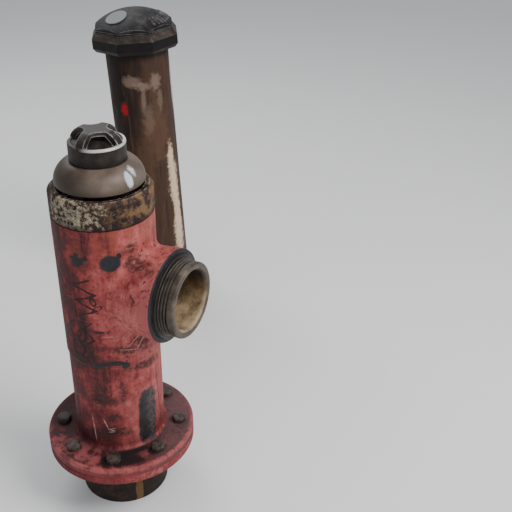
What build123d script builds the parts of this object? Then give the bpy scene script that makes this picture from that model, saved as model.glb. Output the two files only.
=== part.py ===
"""Street fire hydrant with its guard post, as separate pieces in one frame.

Millimetres. +Z is up and z = 0 is the pavement. The hydrant's stem axis is the Z axis, and its
pumper outlet faces -Y. The guard post stands at the +X side, a little behind, and leans slightly.
The operating nut drives the stem down 6.35 mm a turn, through 10 turns from shut to open.
"""

import os
from math import cos, hypot, radians, sin

from build123d import *

os.makedirs("parts", exist_ok=True)

# ---------------------------------------------------------------- driving dimensions

# Barrel and ground flange
barrel_od = 182.5  # lower, plain stretch of the barrel
barrel_taper = 8.5  # how much wider it is at the bonnet
barrel_wall = 12.5
stub_height = 112.5  # pavement to the underside of the flange pair
stub_blend = 8.0  # round under the lower flange
lower_flange_thick = 16.5
upper_flange_thick = 19.0
flange_rim_round = 2.0
flange_lip_round = 5.0  # the upper flange's top rim
neck_blend = 10.0  # round where the barrel meets its flange
flange_gasket_thick = 2.0
flange_gasket_inset = 0.8  # the gasket's edge, inside the flanges' rims
bolt_circle_gap = 30.75  # barrel's side to the bolt circle
flange_margin = 30.5  # bolt circle to the flange's rim
nozzle_section_drop = 149.0  # outlet's axis down to the step where the nozzle section begins
nozzle_section_step = 7.0
nozzle_section_swell = 2.5
barrel_length = 504.0  # flange top to the top of the upper barrel
top_lip_thick = 22.0  # inward lip that carries the bonnet screws
top_lip_reach = 43.5  # from the barrel's outside
top_lip_slope = 10.0  # height of the slope under the lip

# Flange bolts
flange_bolt_count = 8
flange_bolt_turn = 25.5  # from the outlet's direction to the nearest bolt
flange_bolt_d = 16.0
flange_head_flats = 27.0
flange_head_height = 11.0
flange_head_chamfer = 2.5
flange_nut_height = 14.0
flange_bolt_tail = 5.0  # thread that shows past the nut

# Pumper outlet
outlet_drop = 150.0  # top of the upper barrel down to the outlet's axis
boss_projection = 54.25  # barrel's side to the boss's face
boss_root_inset = 5.25  # the boss's side, inside the barrel's
boss_wall = 17.85  # hose thread's crest to the boss's side, at its face
boss_face_band = 8.0
boss_blend = 14.0  # round where the boss meets the barrel
boss_rim_round = 4.0
waterway_d = 114.3
hose_thread_d = 146.3
hose_thread_depth = 3.65
hose_thread_pitch = 6.35
hose_thread_turns = 3
thread_mouth = 0.84  # share of the pitch that a groove takes at its mouth
thread_floor = 0.4  # share of the pitch that a groove takes at its root
lip_length = 11.0
lip_outer_round = 4.0
lip_mouth_round = 9.0  # from the lip's face into the waterway
nozzle_shank_wall = 12.85  # waterway to the screwed-in shank's side
nozzle_seat_depth = 42.0
nozzle_collar_step = 8.85
nozzle_collar_thick = 7.0
nozzle_collar_round = 2.0
nozzle_seal_section = 3.0
nozzle_seal_inset = 1.0  # the seal's bore, outside the waterway
lock_screw_d = 8.0
lock_screw_bite = 3.0  # into the nozzle's shank
lock_screw_setback = 20.0  # from the boss's face
lock_screw_sink = 4.0
lock_screw_socket_d = 4.0
lock_screw_socket_depth = 4.0

# Bonnet
bonnet_gasket_thick = 2.0
bonnet_gasket_inset = 3.0
bonnet_wall = 15.0
bonnet_side_height = 44.0
bonnet_shoulder = 7.0
bonnet_shoulder_round = 3.0
bonnet_hub_wall = 8.0
bonnet_plate_thick = 18.0
bonnet_screw_count = 6
bonnet_screw_inset = 12.0  # from the lip's bore to the screw's axis
bonnet_screw_d = 10.0
bonnet_screw_head_d = 16.0
bonnet_screw_head_height = 10.0
bonnet_screw_socket_flats = 8.0
bonnet_screw_socket_depth = 5.0
bonnet_screw_hole_depth = 18.0  # into the barrel's lip
bonnet_screw_tip_gap = 2.0

# Stem, operating nut and its bearings
stem_d = 28.0
stem_chamfer = 1.5
gland_depth = 22.0
gland_lift = 3.0
nut_sleeve_wall = 3.0
nut_sleeve_length = 17.5
nut_neck_wall = 7.2
nut_collar_step = 4.3
nut_collar_thick = 8.0
nut_pentagon_width = 38.1  # point to opposite flat
nut_pentagon_height = 30.5
nut_pentagon_chamfer = 1.5
nut_roof = 12.0  # solid metal over the stem's end
thrust_washer_thick = 2.5
hold_down_wall = 4.4
hold_down_head_step = 7.0
hold_down_head_thick = 7.0
seal_section = 3.2

# Security dome and the guard that spins on it
dome_inset = 13.1  # the dome's rim, inside the bonnet's side
dome_gap = 7.0  # open gap between the bonnet's top and the dome's rim
dome_rise = 40.0
dome_seat_rise = 16.0
dome_shell = 7.0
dome_hub_slope = 6.0
dome_rim_round = 2.0
dome_shoulder = 3.0  # flat beside the guard
dome_bulge_out = 0.74  # share of the dome's width at its bulge
dome_bulge_up = 0.62  # share of the dome's height at its bulge
neck_room = 2.2  # round the hold-down nut's head
neck_wall = 7.5
neck_height = 23.0
guard_wall = 8.2
guard_side_height = 33.4
guard_rest_angle = -1.0  # arms at rest, from the outlet's direction
guard_cross_rise = 21.5
guard_floor_rise = 8.0  # crown of the floor between the arms
guard_floor_sink = 3.0  # floor below the rim, beside the rim
guard_rim_width = 5.0
guard_arm_width = 16.0
guard_arm_plate = 8.0
guard_arm_fillet = 22.0
guard_arm_slope = 21.0  # how far in from the side an arm is level
guard_arm_bulge = 4.0
guard_arm_foot = 1.5  # upright part of an arm above the rim
guard_leg_depth = 9.5
guard_rim_round = 2.0
guard_boss_wall = 8.0
snap_ring_groove = 1.5  # depth in the neck
snap_ring_width = 4.5
snap_ring_thick = 2.6
snap_ring_drop = 8.0  # from the neck's top
clutch_thick = 9.0
clutch_lift = 8.0

# Breakaway coupling at the ground flange
coupling_wall = 10.0
coupling_neck_wall = 6.0
coupling_length = 58.0
coupling_notch = 4.0
coupling_pin_d = 8.0
coupling_pin_spacing = 30.0
stem_end_gap = 2.0
lower_stem_length = 56.0

# Guard post
post_x = 751.0
post_y = 351.5
post_lean = 2.9  # degrees from upright
post_lean_heading = 115.0  # degrees from +X, the way the top leans
post_od = 168.3
post_wall = 7.1
post_length = 770.0
cap_overhang = 26.85  # the cap's widest tier, beyond the pipe
cap_foot_inset = 8.0
cap_top_inset = 11.0
cap_groove_inset = 15.5
cap_skirt = 42.0  # how far the cap reaches down the pipe
cap_foot_chamfer = 10.0
cap_side_height = 24.0
cap_shoulder = 16.0
cap_groove = 4.0
cap_brim_thick = 6.0
cap_crown_rise = 38.0
cap_corner_drop = 3.0  # crown's edge below the brim's top, at the corners
cap_roof = 12.0
cap_sides = 8
cap_facet_angle = 32.0  # direction that one of the eight facets faces
cap_rib_count = 10
cap_rib_span = 86.0  # degrees of the brim that the ribs take up
cap_rib_first = -112.0
cap_rib_length = 22.0
cap_rib_width = 4.6
cap_rib_height = 2.0
cap_rib_inset = 17.0  # from the brim's flats to the middle of a rib
tag_d = 58.0
tag_thick = 2.5
tag_sink = 2.0  # depth of its seat in the crown
tag_chamfer = 0.6
tag_offset = 60.0  # from the post's axis
tag_heading = 168.0

# Clearances
slip = 0.1  # between fixed pieces that slide together
running = 0.2  # around pieces that turn or slide
bearing_play = 0.5  # around washers and the nut's collar
bolt_play = 1.0  # around a flange bolt, in its hole
lift_gap = 0.6  # axial gap that lets a piece turn
inner_gap = 1.5  # between the guard's inner ring and the neck
clutch_play = 4.0  # between the clutch plate and the neck
cut_over = 1.0  # how far a cut starts outside the metal
near = 0.1  # reach of a selection by place

# ---------------------------------------------------------------- sizes that follow

barrel_top_od = barrel_od + barrel_taper
barrel_bore_r = barrel_od / 2 - barrel_wall
flange_pcd = barrel_od + 2 * bolt_circle_gap
flange_od = flange_pcd + 2 * flange_margin
flange_hole_d = flange_bolt_d + 2 * bolt_play
flange_hole_depth = 2 * upper_flange_thick + lower_flange_thick
top_lip_bore = barrel_top_od - 2 * top_lip_reach
bonnet_screw_pcd = top_lip_bore + 2 * bonnet_screw_inset

boss_reach = barrel_od / 2 + boss_projection
boss_root_d = barrel_od - 2 * boss_root_inset
boss_face_d = hose_thread_d + 2 * boss_wall
nozzle_thread_d = waterway_d + 2 * nozzle_shank_wall
nozzle_seat_r = nozzle_thread_d / 2 + slip / 2
nozzle_collar_d = hose_thread_d + 2 * nozzle_collar_step
hose_thread_root_d = hose_thread_d - 2 * hose_thread_depth

stem_r = stem_d / 2
nut_sleeve_d = stem_d + 2 * nut_sleeve_wall
nut_neck_d = stem_d + 2 * nut_neck_wall
nut_collar_d = nut_neck_d + 2 * nut_collar_step
pentagon_r = nut_pentagon_width / (1 + cos(radians(36)))
hold_down_bore_r = nut_neck_d / 2 + running
hold_down_d = 2 * (hold_down_bore_r + hold_down_wall)
hold_down_head_d = hold_down_d + 2 * hold_down_head_step
neck_bore_d = hold_down_head_d + 2 * neck_room
bearing_r = max(hold_down_d / 2 + slip / 2, nut_collar_d / 2 + bearing_play)
bonnet_hub_d = 2 * (bearing_r + bonnet_hub_wall)

dome_rim_d = barrel_top_od - 2 * dome_inset
neck_d = neck_bore_d + 2 * neck_wall
guard_bore_d = neck_d + 2 * (lift_gap + slip)
guard_d = guard_bore_d + 2 * guard_wall
snap_ring_bore = neck_d - 2 * snap_ring_groove
snap_ring_d = snap_ring_bore + 2 * snap_ring_width
clutch_d = neck_bore_d - 2 * clutch_play
coupling_d = stem_d + 2 * coupling_wall
coupling_neck_d = stem_d + 2 * coupling_neck_wall

cap_flats = post_od + 2 * cap_overhang
cap_foot_flats = cap_flats - 2 * cap_foot_inset
cap_top_flats = cap_flats - 2 * cap_top_inset
cap_groove_flats = cap_flats - 2 * cap_groove_inset

# ---------------------------------------------------------------- heights that follow

lower_flange_top = stub_height + lower_flange_thick
upper_flange_bottom = lower_flange_top + flange_gasket_thick
flange_top = upper_flange_bottom + upper_flange_thick
barrel_top = flange_top + barrel_length
outlet_height = barrel_top - outlet_drop
bonnet_bottom = barrel_top + bonnet_gasket_thick
bonnet_side_top = bonnet_bottom + bonnet_side_height
bonnet_top = bonnet_side_top + bonnet_shoulder
gland_bottom = bonnet_bottom + gland_lift
gland_top = gland_bottom + gland_depth
sleeve_bottom = gland_top + lift_gap
collar_bottom = sleeve_bottom + nut_sleeve_length
thrust_seat = collar_bottom - thrust_washer_thick - slip
collar_top = collar_bottom + nut_collar_thick
hold_down_bottom = collar_top + thrust_washer_thick + 2 * slip
dome_rim = bonnet_top + dome_gap
dome_top = dome_rim + dome_rise
hub_top = dome_rim + dome_seat_rise
dome_seat_top = hub_top + dome_shell
hold_down_top = dome_seat_top + hold_down_head_thick
neck_top = dome_top + neck_height
pentagon_bottom = hold_down_top + lift_gap
pentagon_top = pentagon_bottom + nut_pentagon_height
clutch_bottom = hold_down_top + 2 * lift_gap
clutch_top = clutch_bottom + clutch_thick
guard_bottom = dome_top + lift_gap
guard_rim = guard_bottom + guard_side_height
guard_ceiling = neck_top + inner_gap
guard_boss_bottom = clutch_top + clutch_lift + lift_gap
snap_ring_bottom = neck_top - snap_ring_drop
stem_top = pentagon_top - nut_roof - 2 * lift_gap
coupling_middle = upper_flange_bottom - flange_gasket_thick / 2
lock_screw_length = (boss_face_d - nozzle_thread_d) / 2 - lock_screw_sink + lock_screw_bite
lock_screw_top = outlet_height + boss_face_d / 2 - lock_screw_sink

outlet_axis = Axis((0, 0, outlet_height), (0, -1, 0))
outlet_face = Plane(origin=(0, -boss_reach, outlet_height), x_dir=(1, 0, 0), z_dir=(0, -1, 0))
outlet_plane_at_seat = outlet_face.offset(-nozzle_seat_depth)
lock_screw_plane = Plane((0, lock_screw_setback - boss_reach, lock_screw_top))
seal_bottoms = (gland_bottom + seal_section, gland_bottom + 3.5 * seal_section)

lean_x = sin(radians(post_lean)) * cos(radians(post_lean_heading))
lean_y = sin(radians(post_lean)) * sin(radians(post_lean_heading))
lean_z = cos(radians(post_lean))
post_plane = Plane(origin=(post_x, post_y, 0), x_dir=(lean_z, 0, -lean_x), z_dir=(lean_x, lean_y, lean_z))


def finish(piece, name):
    """Names a finished piece and writes its STEP file."""
    piece.part.label = name
    export_step(piece.part, f"parts/{name}.step")


def spun_ring(outer_d, inner_d, bottom, height):
    """A plain ring about the stem axis, for washers, seals and gaskets."""
    with BuildPart() as ring:
        with BuildSketch(Plane.XY.offset(bottom)):
            Circle(outer_d / 2)
            Circle(inner_d / 2, mode=Mode.SUBTRACT)
        extrude(amount=height)
    return ring


# ---------------------------------------------------------------- lower barrel

with BuildPart() as lower_barrel:
    with BuildSketch(Plane.XZ):
        with BuildLine():
            Polyline(
                (barrel_bore_r, 0),
                (barrel_od / 2, 0),
                (barrel_od / 2, stub_height),
                (flange_od / 2, stub_height),
                (flange_od / 2, lower_flange_top),
                (barrel_bore_r, lower_flange_top),
                close=True,
            )
        make_face()
    revolve(axis=Axis.Z)
    neck_edge = lower_barrel.edges().filter_by(GeomType.CIRCLE).filter_by_position(
        Axis.Z, stub_height - near, stub_height + near
    )
    fillet(neck_edge.sort_by(SortBy.RADIUS)[0], stub_blend)
    flange_rims = lower_barrel.edges().filter_by(GeomType.CIRCLE).sort_by(SortBy.RADIUS)[-2:]
    fillet(flange_rims, flange_rim_round)
    with Locations((0, 0, lower_flange_top)):
        with PolarLocations(flange_pcd / 2, flange_bolt_count, start_angle=flange_bolt_turn):
            Hole(flange_hole_d / 2, depth=flange_hole_depth)
finish(lower_barrel, "lower_barrel")

# ---------------------------------------------------------------- flange gasket, bolts and nuts

with BuildPart() as flange_gasket:
    with BuildSketch(Plane.XY.offset(lower_flange_top)):
        Circle(flange_od / 2 - flange_gasket_inset)
        Circle(barrel_bore_r, mode=Mode.SUBTRACT)
        with PolarLocations(flange_pcd / 2, flange_bolt_count, start_angle=flange_bolt_turn):
            Circle(flange_hole_d / 2, mode=Mode.SUBTRACT)
    extrude(amount=flange_gasket_thick)
finish(flange_gasket, "flange_gasket")

with BuildPart() as flange_bolts:
    nut_bottom = stub_height - flange_nut_height
    with BuildSketch(Plane.XY.offset(flange_top)):
        with PolarLocations(flange_pcd / 2, flange_bolt_count, start_angle=flange_bolt_turn):
            RegularPolygon(flange_head_flats / 2, 6, major_radius=False)
    extrude(amount=flange_head_height)
    head_tops = flange_bolts.faces().filter_by(Axis.Z).group_by(Axis.Z)[-1]
    chamfer(head_tops.edges(), flange_head_chamfer)
    with BuildSketch(Plane.XY.offset(flange_top)):
        with PolarLocations(flange_pcd / 2, flange_bolt_count, start_angle=flange_bolt_turn):
            Circle(flange_bolt_d / 2)
    extrude(amount=-(flange_top - nut_bottom + flange_bolt_tail))
finish(flange_bolts, "flange_bolts")

with BuildPart() as flange_nuts:
    with BuildSketch(Plane.XY.offset(nut_bottom)):
        with PolarLocations(flange_pcd / 2, flange_bolt_count, start_angle=flange_bolt_turn):
            RegularPolygon(flange_head_flats / 2, 6, major_radius=False)
            Circle(flange_bolt_d / 2 + slip / 2, mode=Mode.SUBTRACT)
    extrude(amount=flange_nut_height)
finish(flange_nuts, "flange_nuts")

# ---------------------------------------------------------------- upper barrel, with the outlet boss

section_bottom = outlet_height - nozzle_section_drop
section_top = section_bottom + nozzle_section_step
section_r = barrel_od / 2 + nozzle_section_swell
lip_bottom = barrel_top - top_lip_thick
lip_r = top_lip_bore / 2
top_bore_r = barrel_top_od / 2 - barrel_wall
waterway_r = waterway_d / 2

with BuildPart() as upper_barrel:
    with BuildSketch(Plane.XZ):
        with BuildLine():
            Polyline(
                (0, upper_flange_bottom),
                (flange_od / 2, upper_flange_bottom),
                (flange_od / 2, flange_top),
                (barrel_od / 2, flange_top),
                (barrel_od / 2, section_bottom),
                (section_r, section_top),
                (barrel_top_od / 2, barrel_top),
                (0, barrel_top),
                close=True,
            )
        make_face()
    revolve(axis=Axis.Z)
    flange_rims = upper_barrel.edges().filter_by(GeomType.CIRCLE).sort_by(SortBy.RADIUS)[-2:]
    fillet(flange_rims.sort_by(Axis.Z)[-1], flange_lip_round)
    neck_edge = upper_barrel.edges().filter_by(GeomType.CIRCLE).filter_by_position(
        Axis.Z, flange_top - near, flange_top + near
    )
    fillet(neck_edge.sort_by(SortBy.RADIUS)[0], neck_blend)
    with BuildSketch(Plane.YZ):
        with BuildLine():
            Polyline(
                (0, outlet_height),
                (0, outlet_height + boss_root_d / 2),
                (-barrel_od / 2, outlet_height + boss_root_d / 2),
                (boss_face_band - boss_reach, outlet_height + boss_face_d / 2),
                (-boss_reach, outlet_height + boss_face_d / 2),
                (-boss_reach, outlet_height),
                close=True,
            )
        make_face()
    revolve(axis=outlet_axis)
    with BuildSketch(Plane.YZ):
        with BuildLine():
            Polyline(
                (0, outlet_height),
                (0, outlet_height + waterway_r),
                (nozzle_seat_depth - boss_reach, outlet_height + waterway_r),
                (nozzle_seat_depth - boss_reach, outlet_height + nozzle_seat_r),
                (-boss_reach - cut_over, outlet_height + nozzle_seat_r),
                (-boss_reach - cut_over, outlet_height),
                close=True,
            )
        make_face()
    revolve(axis=outlet_axis, mode=Mode.SUBTRACT)
    with BuildSketch(Plane.XZ):
        with BuildLine():
            Polyline(
                (0, upper_flange_bottom),
                (barrel_bore_r, upper_flange_bottom),
                (top_bore_r, lip_bottom - top_lip_slope),
                (lip_r, lip_bottom),
                (lip_r, barrel_top),
                (0, barrel_top),
                close=True,
            )
        make_face()
    revolve(axis=Axis.Z, mode=Mode.SUBTRACT)
    saddle = upper_barrel.edges().filter_by(GeomType.BSPLINE).filter_by(
        lambda edge: hypot((edge @ 0.5).X, (edge @ 0.5).Y) > (barrel_od - barrel_wall) / 2
    )
    fillet(saddle, boss_blend)
    boss_rim = upper_barrel.edges().filter_by(GeomType.CIRCLE).filter_by_position(
        Axis.Y, -boss_reach - near, near - boss_reach
    )
    fillet(boss_rim.sort_by(SortBy.RADIUS)[-1], boss_rim_round)
    with BuildSketch(lock_screw_plane):
        Circle(lock_screw_d / 2 + slip / 2)
    extrude(amount=-boss_face_d / 2, mode=Mode.SUBTRACT)
    with Locations((0, 0, flange_top)):
        with PolarLocations(flange_pcd / 2, flange_bolt_count, start_angle=flange_bolt_turn):
            Hole(flange_hole_d / 2, depth=flange_hole_depth)
    with BuildSketch(Plane.XY.offset(barrel_top)):
        with PolarLocations(bonnet_screw_pcd / 2, bonnet_screw_count):
            Circle(bonnet_screw_d / 2 + slip / 2)
    extrude(amount=-bonnet_screw_hole_depth, mode=Mode.SUBTRACT)
finish(upper_barrel, "upper_barrel")

# ---------------------------------------------------------------- outlet nozzle, its seal and lock screw

collar_face = boss_reach + nozzle_collar_thick
thread_length = hose_thread_pitch * hose_thread_turns
lip_start = collar_face + thread_length
nozzle_end = lip_start + lip_length
nozzle_start = boss_reach - nozzle_seat_depth + nozzle_seal_section

with BuildPart() as outlet_nozzle:
    with BuildSketch(Plane.YZ):
        with BuildLine():
            Polyline(
                (-nozzle_start, outlet_height + waterway_r),
                (-nozzle_start, outlet_height + nozzle_thread_d / 2),
                (-boss_reach - slip, outlet_height + nozzle_thread_d / 2),
                (-boss_reach - slip, outlet_height + nozzle_collar_d / 2),
                (-collar_face, outlet_height + nozzle_collar_d / 2),
                (-collar_face, outlet_height + hose_thread_d / 2),
                (-nozzle_end, outlet_height + hose_thread_d / 2),
                (-nozzle_end, outlet_height + waterway_r),
                close=True,
            )
        make_face()
    revolve(axis=outlet_axis)
    lip_edges = outlet_nozzle.edges().filter_by(GeomType.CIRCLE).sort_by(Axis.Y)[:2]
    fillet(lip_edges.sort_by(SortBy.RADIUS)[0], lip_mouth_round)
    lip_rim = outlet_nozzle.edges().filter_by(GeomType.CIRCLE).filter_by_position(
        Axis.Y, -nozzle_end - near, near - nozzle_end
    )
    fillet(lip_rim.sort_by(SortBy.RADIUS)[-1], lip_outer_round)
    collar_rim = outlet_nozzle.edges().filter_by(GeomType.CIRCLE).filter_by_position(
        Axis.Y, -collar_face - near, near - collar_face
    )
    fillet(collar_rim.sort_by(SortBy.RADIUS)[-1], nozzle_collar_round)
    groove_root = outlet_height + hose_thread_root_d / 2
    groove_mouth = outlet_height + hose_thread_d / 2 + cut_over
    half_mouth = hose_thread_pitch * thread_mouth / 2
    half_floor = hose_thread_pitch * thread_floor / 2
    for turn in range(hose_thread_turns):
        groove_y = -(collar_face + hose_thread_pitch * (turn + 0.5))
        with BuildSketch(Plane.YZ):
            with BuildLine():
                Polyline(
                    (groove_y - half_mouth, groove_mouth),
                    (groove_y - half_floor, groove_root),
                    (groove_y + half_floor, groove_root),
                    (groove_y + half_mouth, groove_mouth),
                    close=True,
                )
            make_face()
        revolve(axis=outlet_axis, mode=Mode.SUBTRACT)
    with BuildSketch(lock_screw_plane):
        Circle(lock_screw_d / 2 + slip / 2)
    extrude(amount=-lock_screw_length - cut_over, mode=Mode.SUBTRACT)
finish(outlet_nozzle, "outlet_nozzle")

with BuildPart() as nozzle_seal:
    with BuildSketch(outlet_plane_at_seat):
        Circle(nozzle_thread_d / 2)
        Circle(waterway_r + nozzle_seal_inset, mode=Mode.SUBTRACT)
    extrude(amount=nozzle_seal_section)
finish(nozzle_seal, "nozzle_seal")

with BuildPart() as nozzle_lock_screw:
    with BuildSketch(lock_screw_plane):
        Circle(lock_screw_d / 2)
    extrude(amount=-lock_screw_length)
    with BuildSketch(lock_screw_plane):
        RegularPolygon(lock_screw_socket_d / 2, 6)
    extrude(amount=-lock_screw_socket_depth, mode=Mode.SUBTRACT)
finish(nozzle_lock_screw, "nozzle_lock_screw")

# ---------------------------------------------------------------- bonnet, its gasket and screws

hub_r = bonnet_hub_d / 2
pocket_outer_r = barrel_top_od / 2 - bonnet_wall
plate_top = bonnet_bottom + bonnet_plate_thick
gland_r = stem_r + running
sleeve_room_r = nut_sleeve_d / 2 + bearing_play

with BuildPart() as bonnet_gasket:
    with BuildSketch(Plane.XY.offset(barrel_top)):
        Circle(barrel_top_od / 2 - bonnet_gasket_inset)
        Circle(lip_r, mode=Mode.SUBTRACT)
        with PolarLocations(bonnet_screw_pcd / 2, bonnet_screw_count):
            Circle(bonnet_screw_d / 2 + slip, mode=Mode.SUBTRACT)
    extrude(amount=bonnet_gasket_thick)
finish(bonnet_gasket, "bonnet_gasket")

with BuildPart() as bonnet:
    with BuildSketch(Plane.XZ):
        with BuildLine():
            Polyline(
                (gland_r, bonnet_bottom),
                (barrel_top_od / 2, bonnet_bottom),
                (barrel_top_od / 2, bonnet_side_top),
                (barrel_top_od / 2 - bonnet_shoulder, bonnet_top),
                (pocket_outer_r, bonnet_top),
                (pocket_outer_r, plate_top),
                (hub_r, plate_top),
                (hub_r, hub_top),
                (bearing_r, hub_top),
                (bearing_r, thrust_seat),
                (sleeve_room_r, thrust_seat),
                (sleeve_room_r, gland_top),
                (gland_r, gland_top),
                close=True,
            )
        make_face()
    revolve(axis=Axis.Z)
    shoulder_edges = bonnet.edges().filter_by(GeomType.CIRCLE).filter_by_position(
        Axis.Z, bonnet_side_top - near, bonnet_side_top + near
    )
    fillet(shoulder_edges, bonnet_shoulder_round)
    for seal_bottom in seal_bottoms:
        with BuildSketch(Plane.XY.offset(seal_bottom)):
            Circle(stem_r + running + seal_section)
        extrude(amount=seal_section, mode=Mode.SUBTRACT)
    with BuildSketch(Plane.XY.offset(plate_top)):
        with PolarLocations(bonnet_screw_pcd / 2, bonnet_screw_count):
            Circle(bonnet_screw_d / 2 + slip)
    extrude(amount=-bonnet_plate_thick, mode=Mode.SUBTRACT)
finish(bonnet, "bonnet")

with BuildPart() as bonnet_screws:
    with BuildSketch(Plane.XY.offset(plate_top)):
        with PolarLocations(bonnet_screw_pcd / 2, bonnet_screw_count):
            Circle(bonnet_screw_head_d / 2)
    extrude(amount=bonnet_screw_head_height)
    with BuildSketch(Plane.XY.offset(plate_top)):
        with PolarLocations(bonnet_screw_pcd / 2, bonnet_screw_count):
            Circle(bonnet_screw_d / 2)
    extrude(amount=-(plate_top - barrel_top + bonnet_screw_hole_depth - bonnet_screw_tip_gap))
    with BuildSketch(Plane.XY.offset(plate_top + bonnet_screw_head_height)):
        with PolarLocations(bonnet_screw_pcd / 2, bonnet_screw_count):
            RegularPolygon(bonnet_screw_socket_flats / 2, 6, major_radius=False)
    extrude(amount=-bonnet_screw_socket_depth, mode=Mode.SUBTRACT)
finish(bonnet_screws, "bonnet_screws")

with BuildPart() as stem_seals:
    for seal_bottom in seal_bottoms:
        with BuildSketch(Plane.XY.offset(seal_bottom)):
            Circle(gland_r + seal_section - slip)
            Circle(gland_r, mode=Mode.SUBTRACT)
        extrude(amount=seal_section - slip)
finish(stem_seals, "stem_seals")

# ---------------------------------------------------------------- operating nut and its bearings

with BuildPart() as operating_nut:
    with BuildSketch(Plane.XZ):
        with BuildLine():
            Polyline(
                (stem_r + running, sleeve_bottom),
                (nut_sleeve_d / 2, sleeve_bottom),
                (nut_sleeve_d / 2, collar_bottom),
                (nut_collar_d / 2, collar_bottom),
                (nut_collar_d / 2, collar_top),
                (nut_neck_d / 2, collar_top),
                (nut_neck_d / 2, pentagon_bottom),
                (stem_r + running, pentagon_bottom),
                close=True,
            )
        make_face()
    revolve(axis=Axis.Z)
    with BuildSketch(Plane.XY.offset(pentagon_bottom)):
        RegularPolygon(pentagon_r, 5)
    extrude(amount=nut_pentagon_height)
    chamfer(operating_nut.faces().sort_by(Axis.Z)[-1].edges(), nut_pentagon_chamfer)
    with BuildSketch(Plane.XY.offset(pentagon_bottom)):
        Circle(stem_r + running)
    extrude(amount=stem_top + lift_gap - pentagon_bottom, mode=Mode.SUBTRACT)
finish(operating_nut, "operating_nut")

lower_washer = spun_ring(nut_collar_d, nut_sleeve_d + 2 * bearing_play, thrust_seat, thrust_washer_thick)
finish(lower_washer, "lower_thrust_washer")

upper_washer = spun_ring(nut_collar_d, nut_neck_d + 2 * bearing_play, collar_top + slip, thrust_washer_thick)
finish(upper_washer, "upper_thrust_washer")

with BuildPart() as hold_down_nut:
    with BuildSketch(Plane.XY.offset(hold_down_bottom)):
        Circle(hold_down_d / 2)
    extrude(amount=dome_seat_top - hold_down_bottom)
    with BuildSketch(Plane.XY.offset(dome_seat_top)):
        RegularPolygon(hold_down_head_d / 2, 6)
    extrude(amount=hold_down_head_thick)
    with BuildSketch(Plane.XY.offset(hold_down_bottom)):
        Circle(hold_down_bore_r)
    extrude(amount=hold_down_top - hold_down_bottom, mode=Mode.SUBTRACT)
    with BuildSketch(Plane.XY.offset(hub_top)):
        Circle(hold_down_bore_r + seal_section)
    extrude(amount=seal_section, mode=Mode.SUBTRACT)
finish(hold_down_nut, "hold_down_nut")

hold_down_seal = spun_ring(
    2 * (hold_down_bore_r + seal_section - slip), 2 * hold_down_bore_r, hub_top, seal_section - slip
)
finish(hold_down_seal, "hold_down_seal")

# ---------------------------------------------------------------- security dome, guard and clutch

rim_r = dome_rim_d / 2
guard_r = guard_d / 2
neck_r = neck_d / 2
shoulder_x = guard_r + dome_shoulder
dome_bulge_x = shoulder_x + (rim_r - shoulder_x) * dome_bulge_out
dome_bulge_z = dome_rim + dome_rise * dome_bulge_up

with BuildPart() as security_dome:
    with BuildSketch(Plane.XZ):
        with BuildLine():
            ThreePointArc((rim_r, dome_rim), (dome_bulge_x, dome_bulge_z), (shoulder_x, dome_top))
            Polyline(
                (shoulder_x, dome_top),
                (neck_r, dome_top),
                (neck_r, neck_top),
                (neck_bore_d / 2, neck_top),
                (neck_bore_d / 2, dome_seat_top),
                (bearing_r, dome_seat_top),
                (bearing_r, hub_top),
                (rim_r - dome_shell - dome_hub_slope, hub_top),
                (rim_r - dome_shell, dome_rim),
                (rim_r, dome_rim),
            )
        make_face()
    revolve(axis=Axis.Z)
    rim_edge = security_dome.edges().filter_by(GeomType.CIRCLE).filter_by_position(
        Axis.Z, dome_rim - near, dome_rim + near
    )
    fillet(rim_edge.sort_by(SortBy.RADIUS)[-1], dome_rim_round)
    with BuildSketch(Plane.XY.offset(snap_ring_bottom - lift_gap)):
        Circle(neck_r)
        Circle(snap_ring_bore / 2 - running, mode=Mode.SUBTRACT)
    extrude(amount=snap_ring_thick + 2 * lift_gap, mode=Mode.SUBTRACT)
finish(security_dome, "security_dome")

guard_top = guard_rim + guard_cross_rise
floor_edge_r = guard_r - guard_rim_width
floor_edge_z = guard_rim - guard_floor_sink
floor_crown = floor_edge_z + guard_floor_rise
floor_arc_r = (floor_edge_r**2 + guard_floor_rise**2) / (2 * guard_floor_rise)
floor_middle_z = floor_crown - floor_arc_r + (floor_arc_r**2 - (floor_edge_r / 2) ** 2) ** 0.5
boss_outer_r = neck_bore_d / 2 - inner_gap
boss_inner_r = boss_outer_r - guard_boss_wall
plate_bottom = guard_top - guard_arm_plate
level_r = guard_r - guard_arm_slope
foot_z = guard_rim + guard_arm_foot
bulge_r = (level_r + guard_r + guard_arm_bulge) / 2
bulge_z = (guard_top + foot_z + guard_arm_bulge) / 2
guard_plane = Plane.XY.rotated((0, 0, guard_rest_angle))

with BuildPart() as guard_arms:
    with BuildSketch(Plane.XZ):
        with BuildLine():
            Line((0, guard_top), (level_r, guard_top))
            ThreePointArc((level_r, guard_top), (bulge_r, bulge_z), (guard_r, foot_z))
            Polyline(
                (guard_r, foot_z),
                (guard_r, floor_edge_z - cut_over),
                (guard_r - guard_leg_depth, floor_edge_z - cut_over),
                (guard_r - guard_leg_depth, floor_edge_z + cut_over),
                (level_r - guard_arm_bulge, plate_bottom),
                (0, plate_bottom),
                (0, guard_top),
            )
        make_face()
    revolve(axis=Axis.Z)
    with BuildSketch(guard_plane.offset(guard_bottom)):
        Rectangle(guard_d, guard_arm_width)
        Rectangle(guard_arm_width, guard_d)
        fillet(vertices().sort_by_distance((0, 0, guard_bottom))[:4], guard_arm_fillet)
    extrude(amount=guard_top, mode=Mode.INTERSECT)

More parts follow.
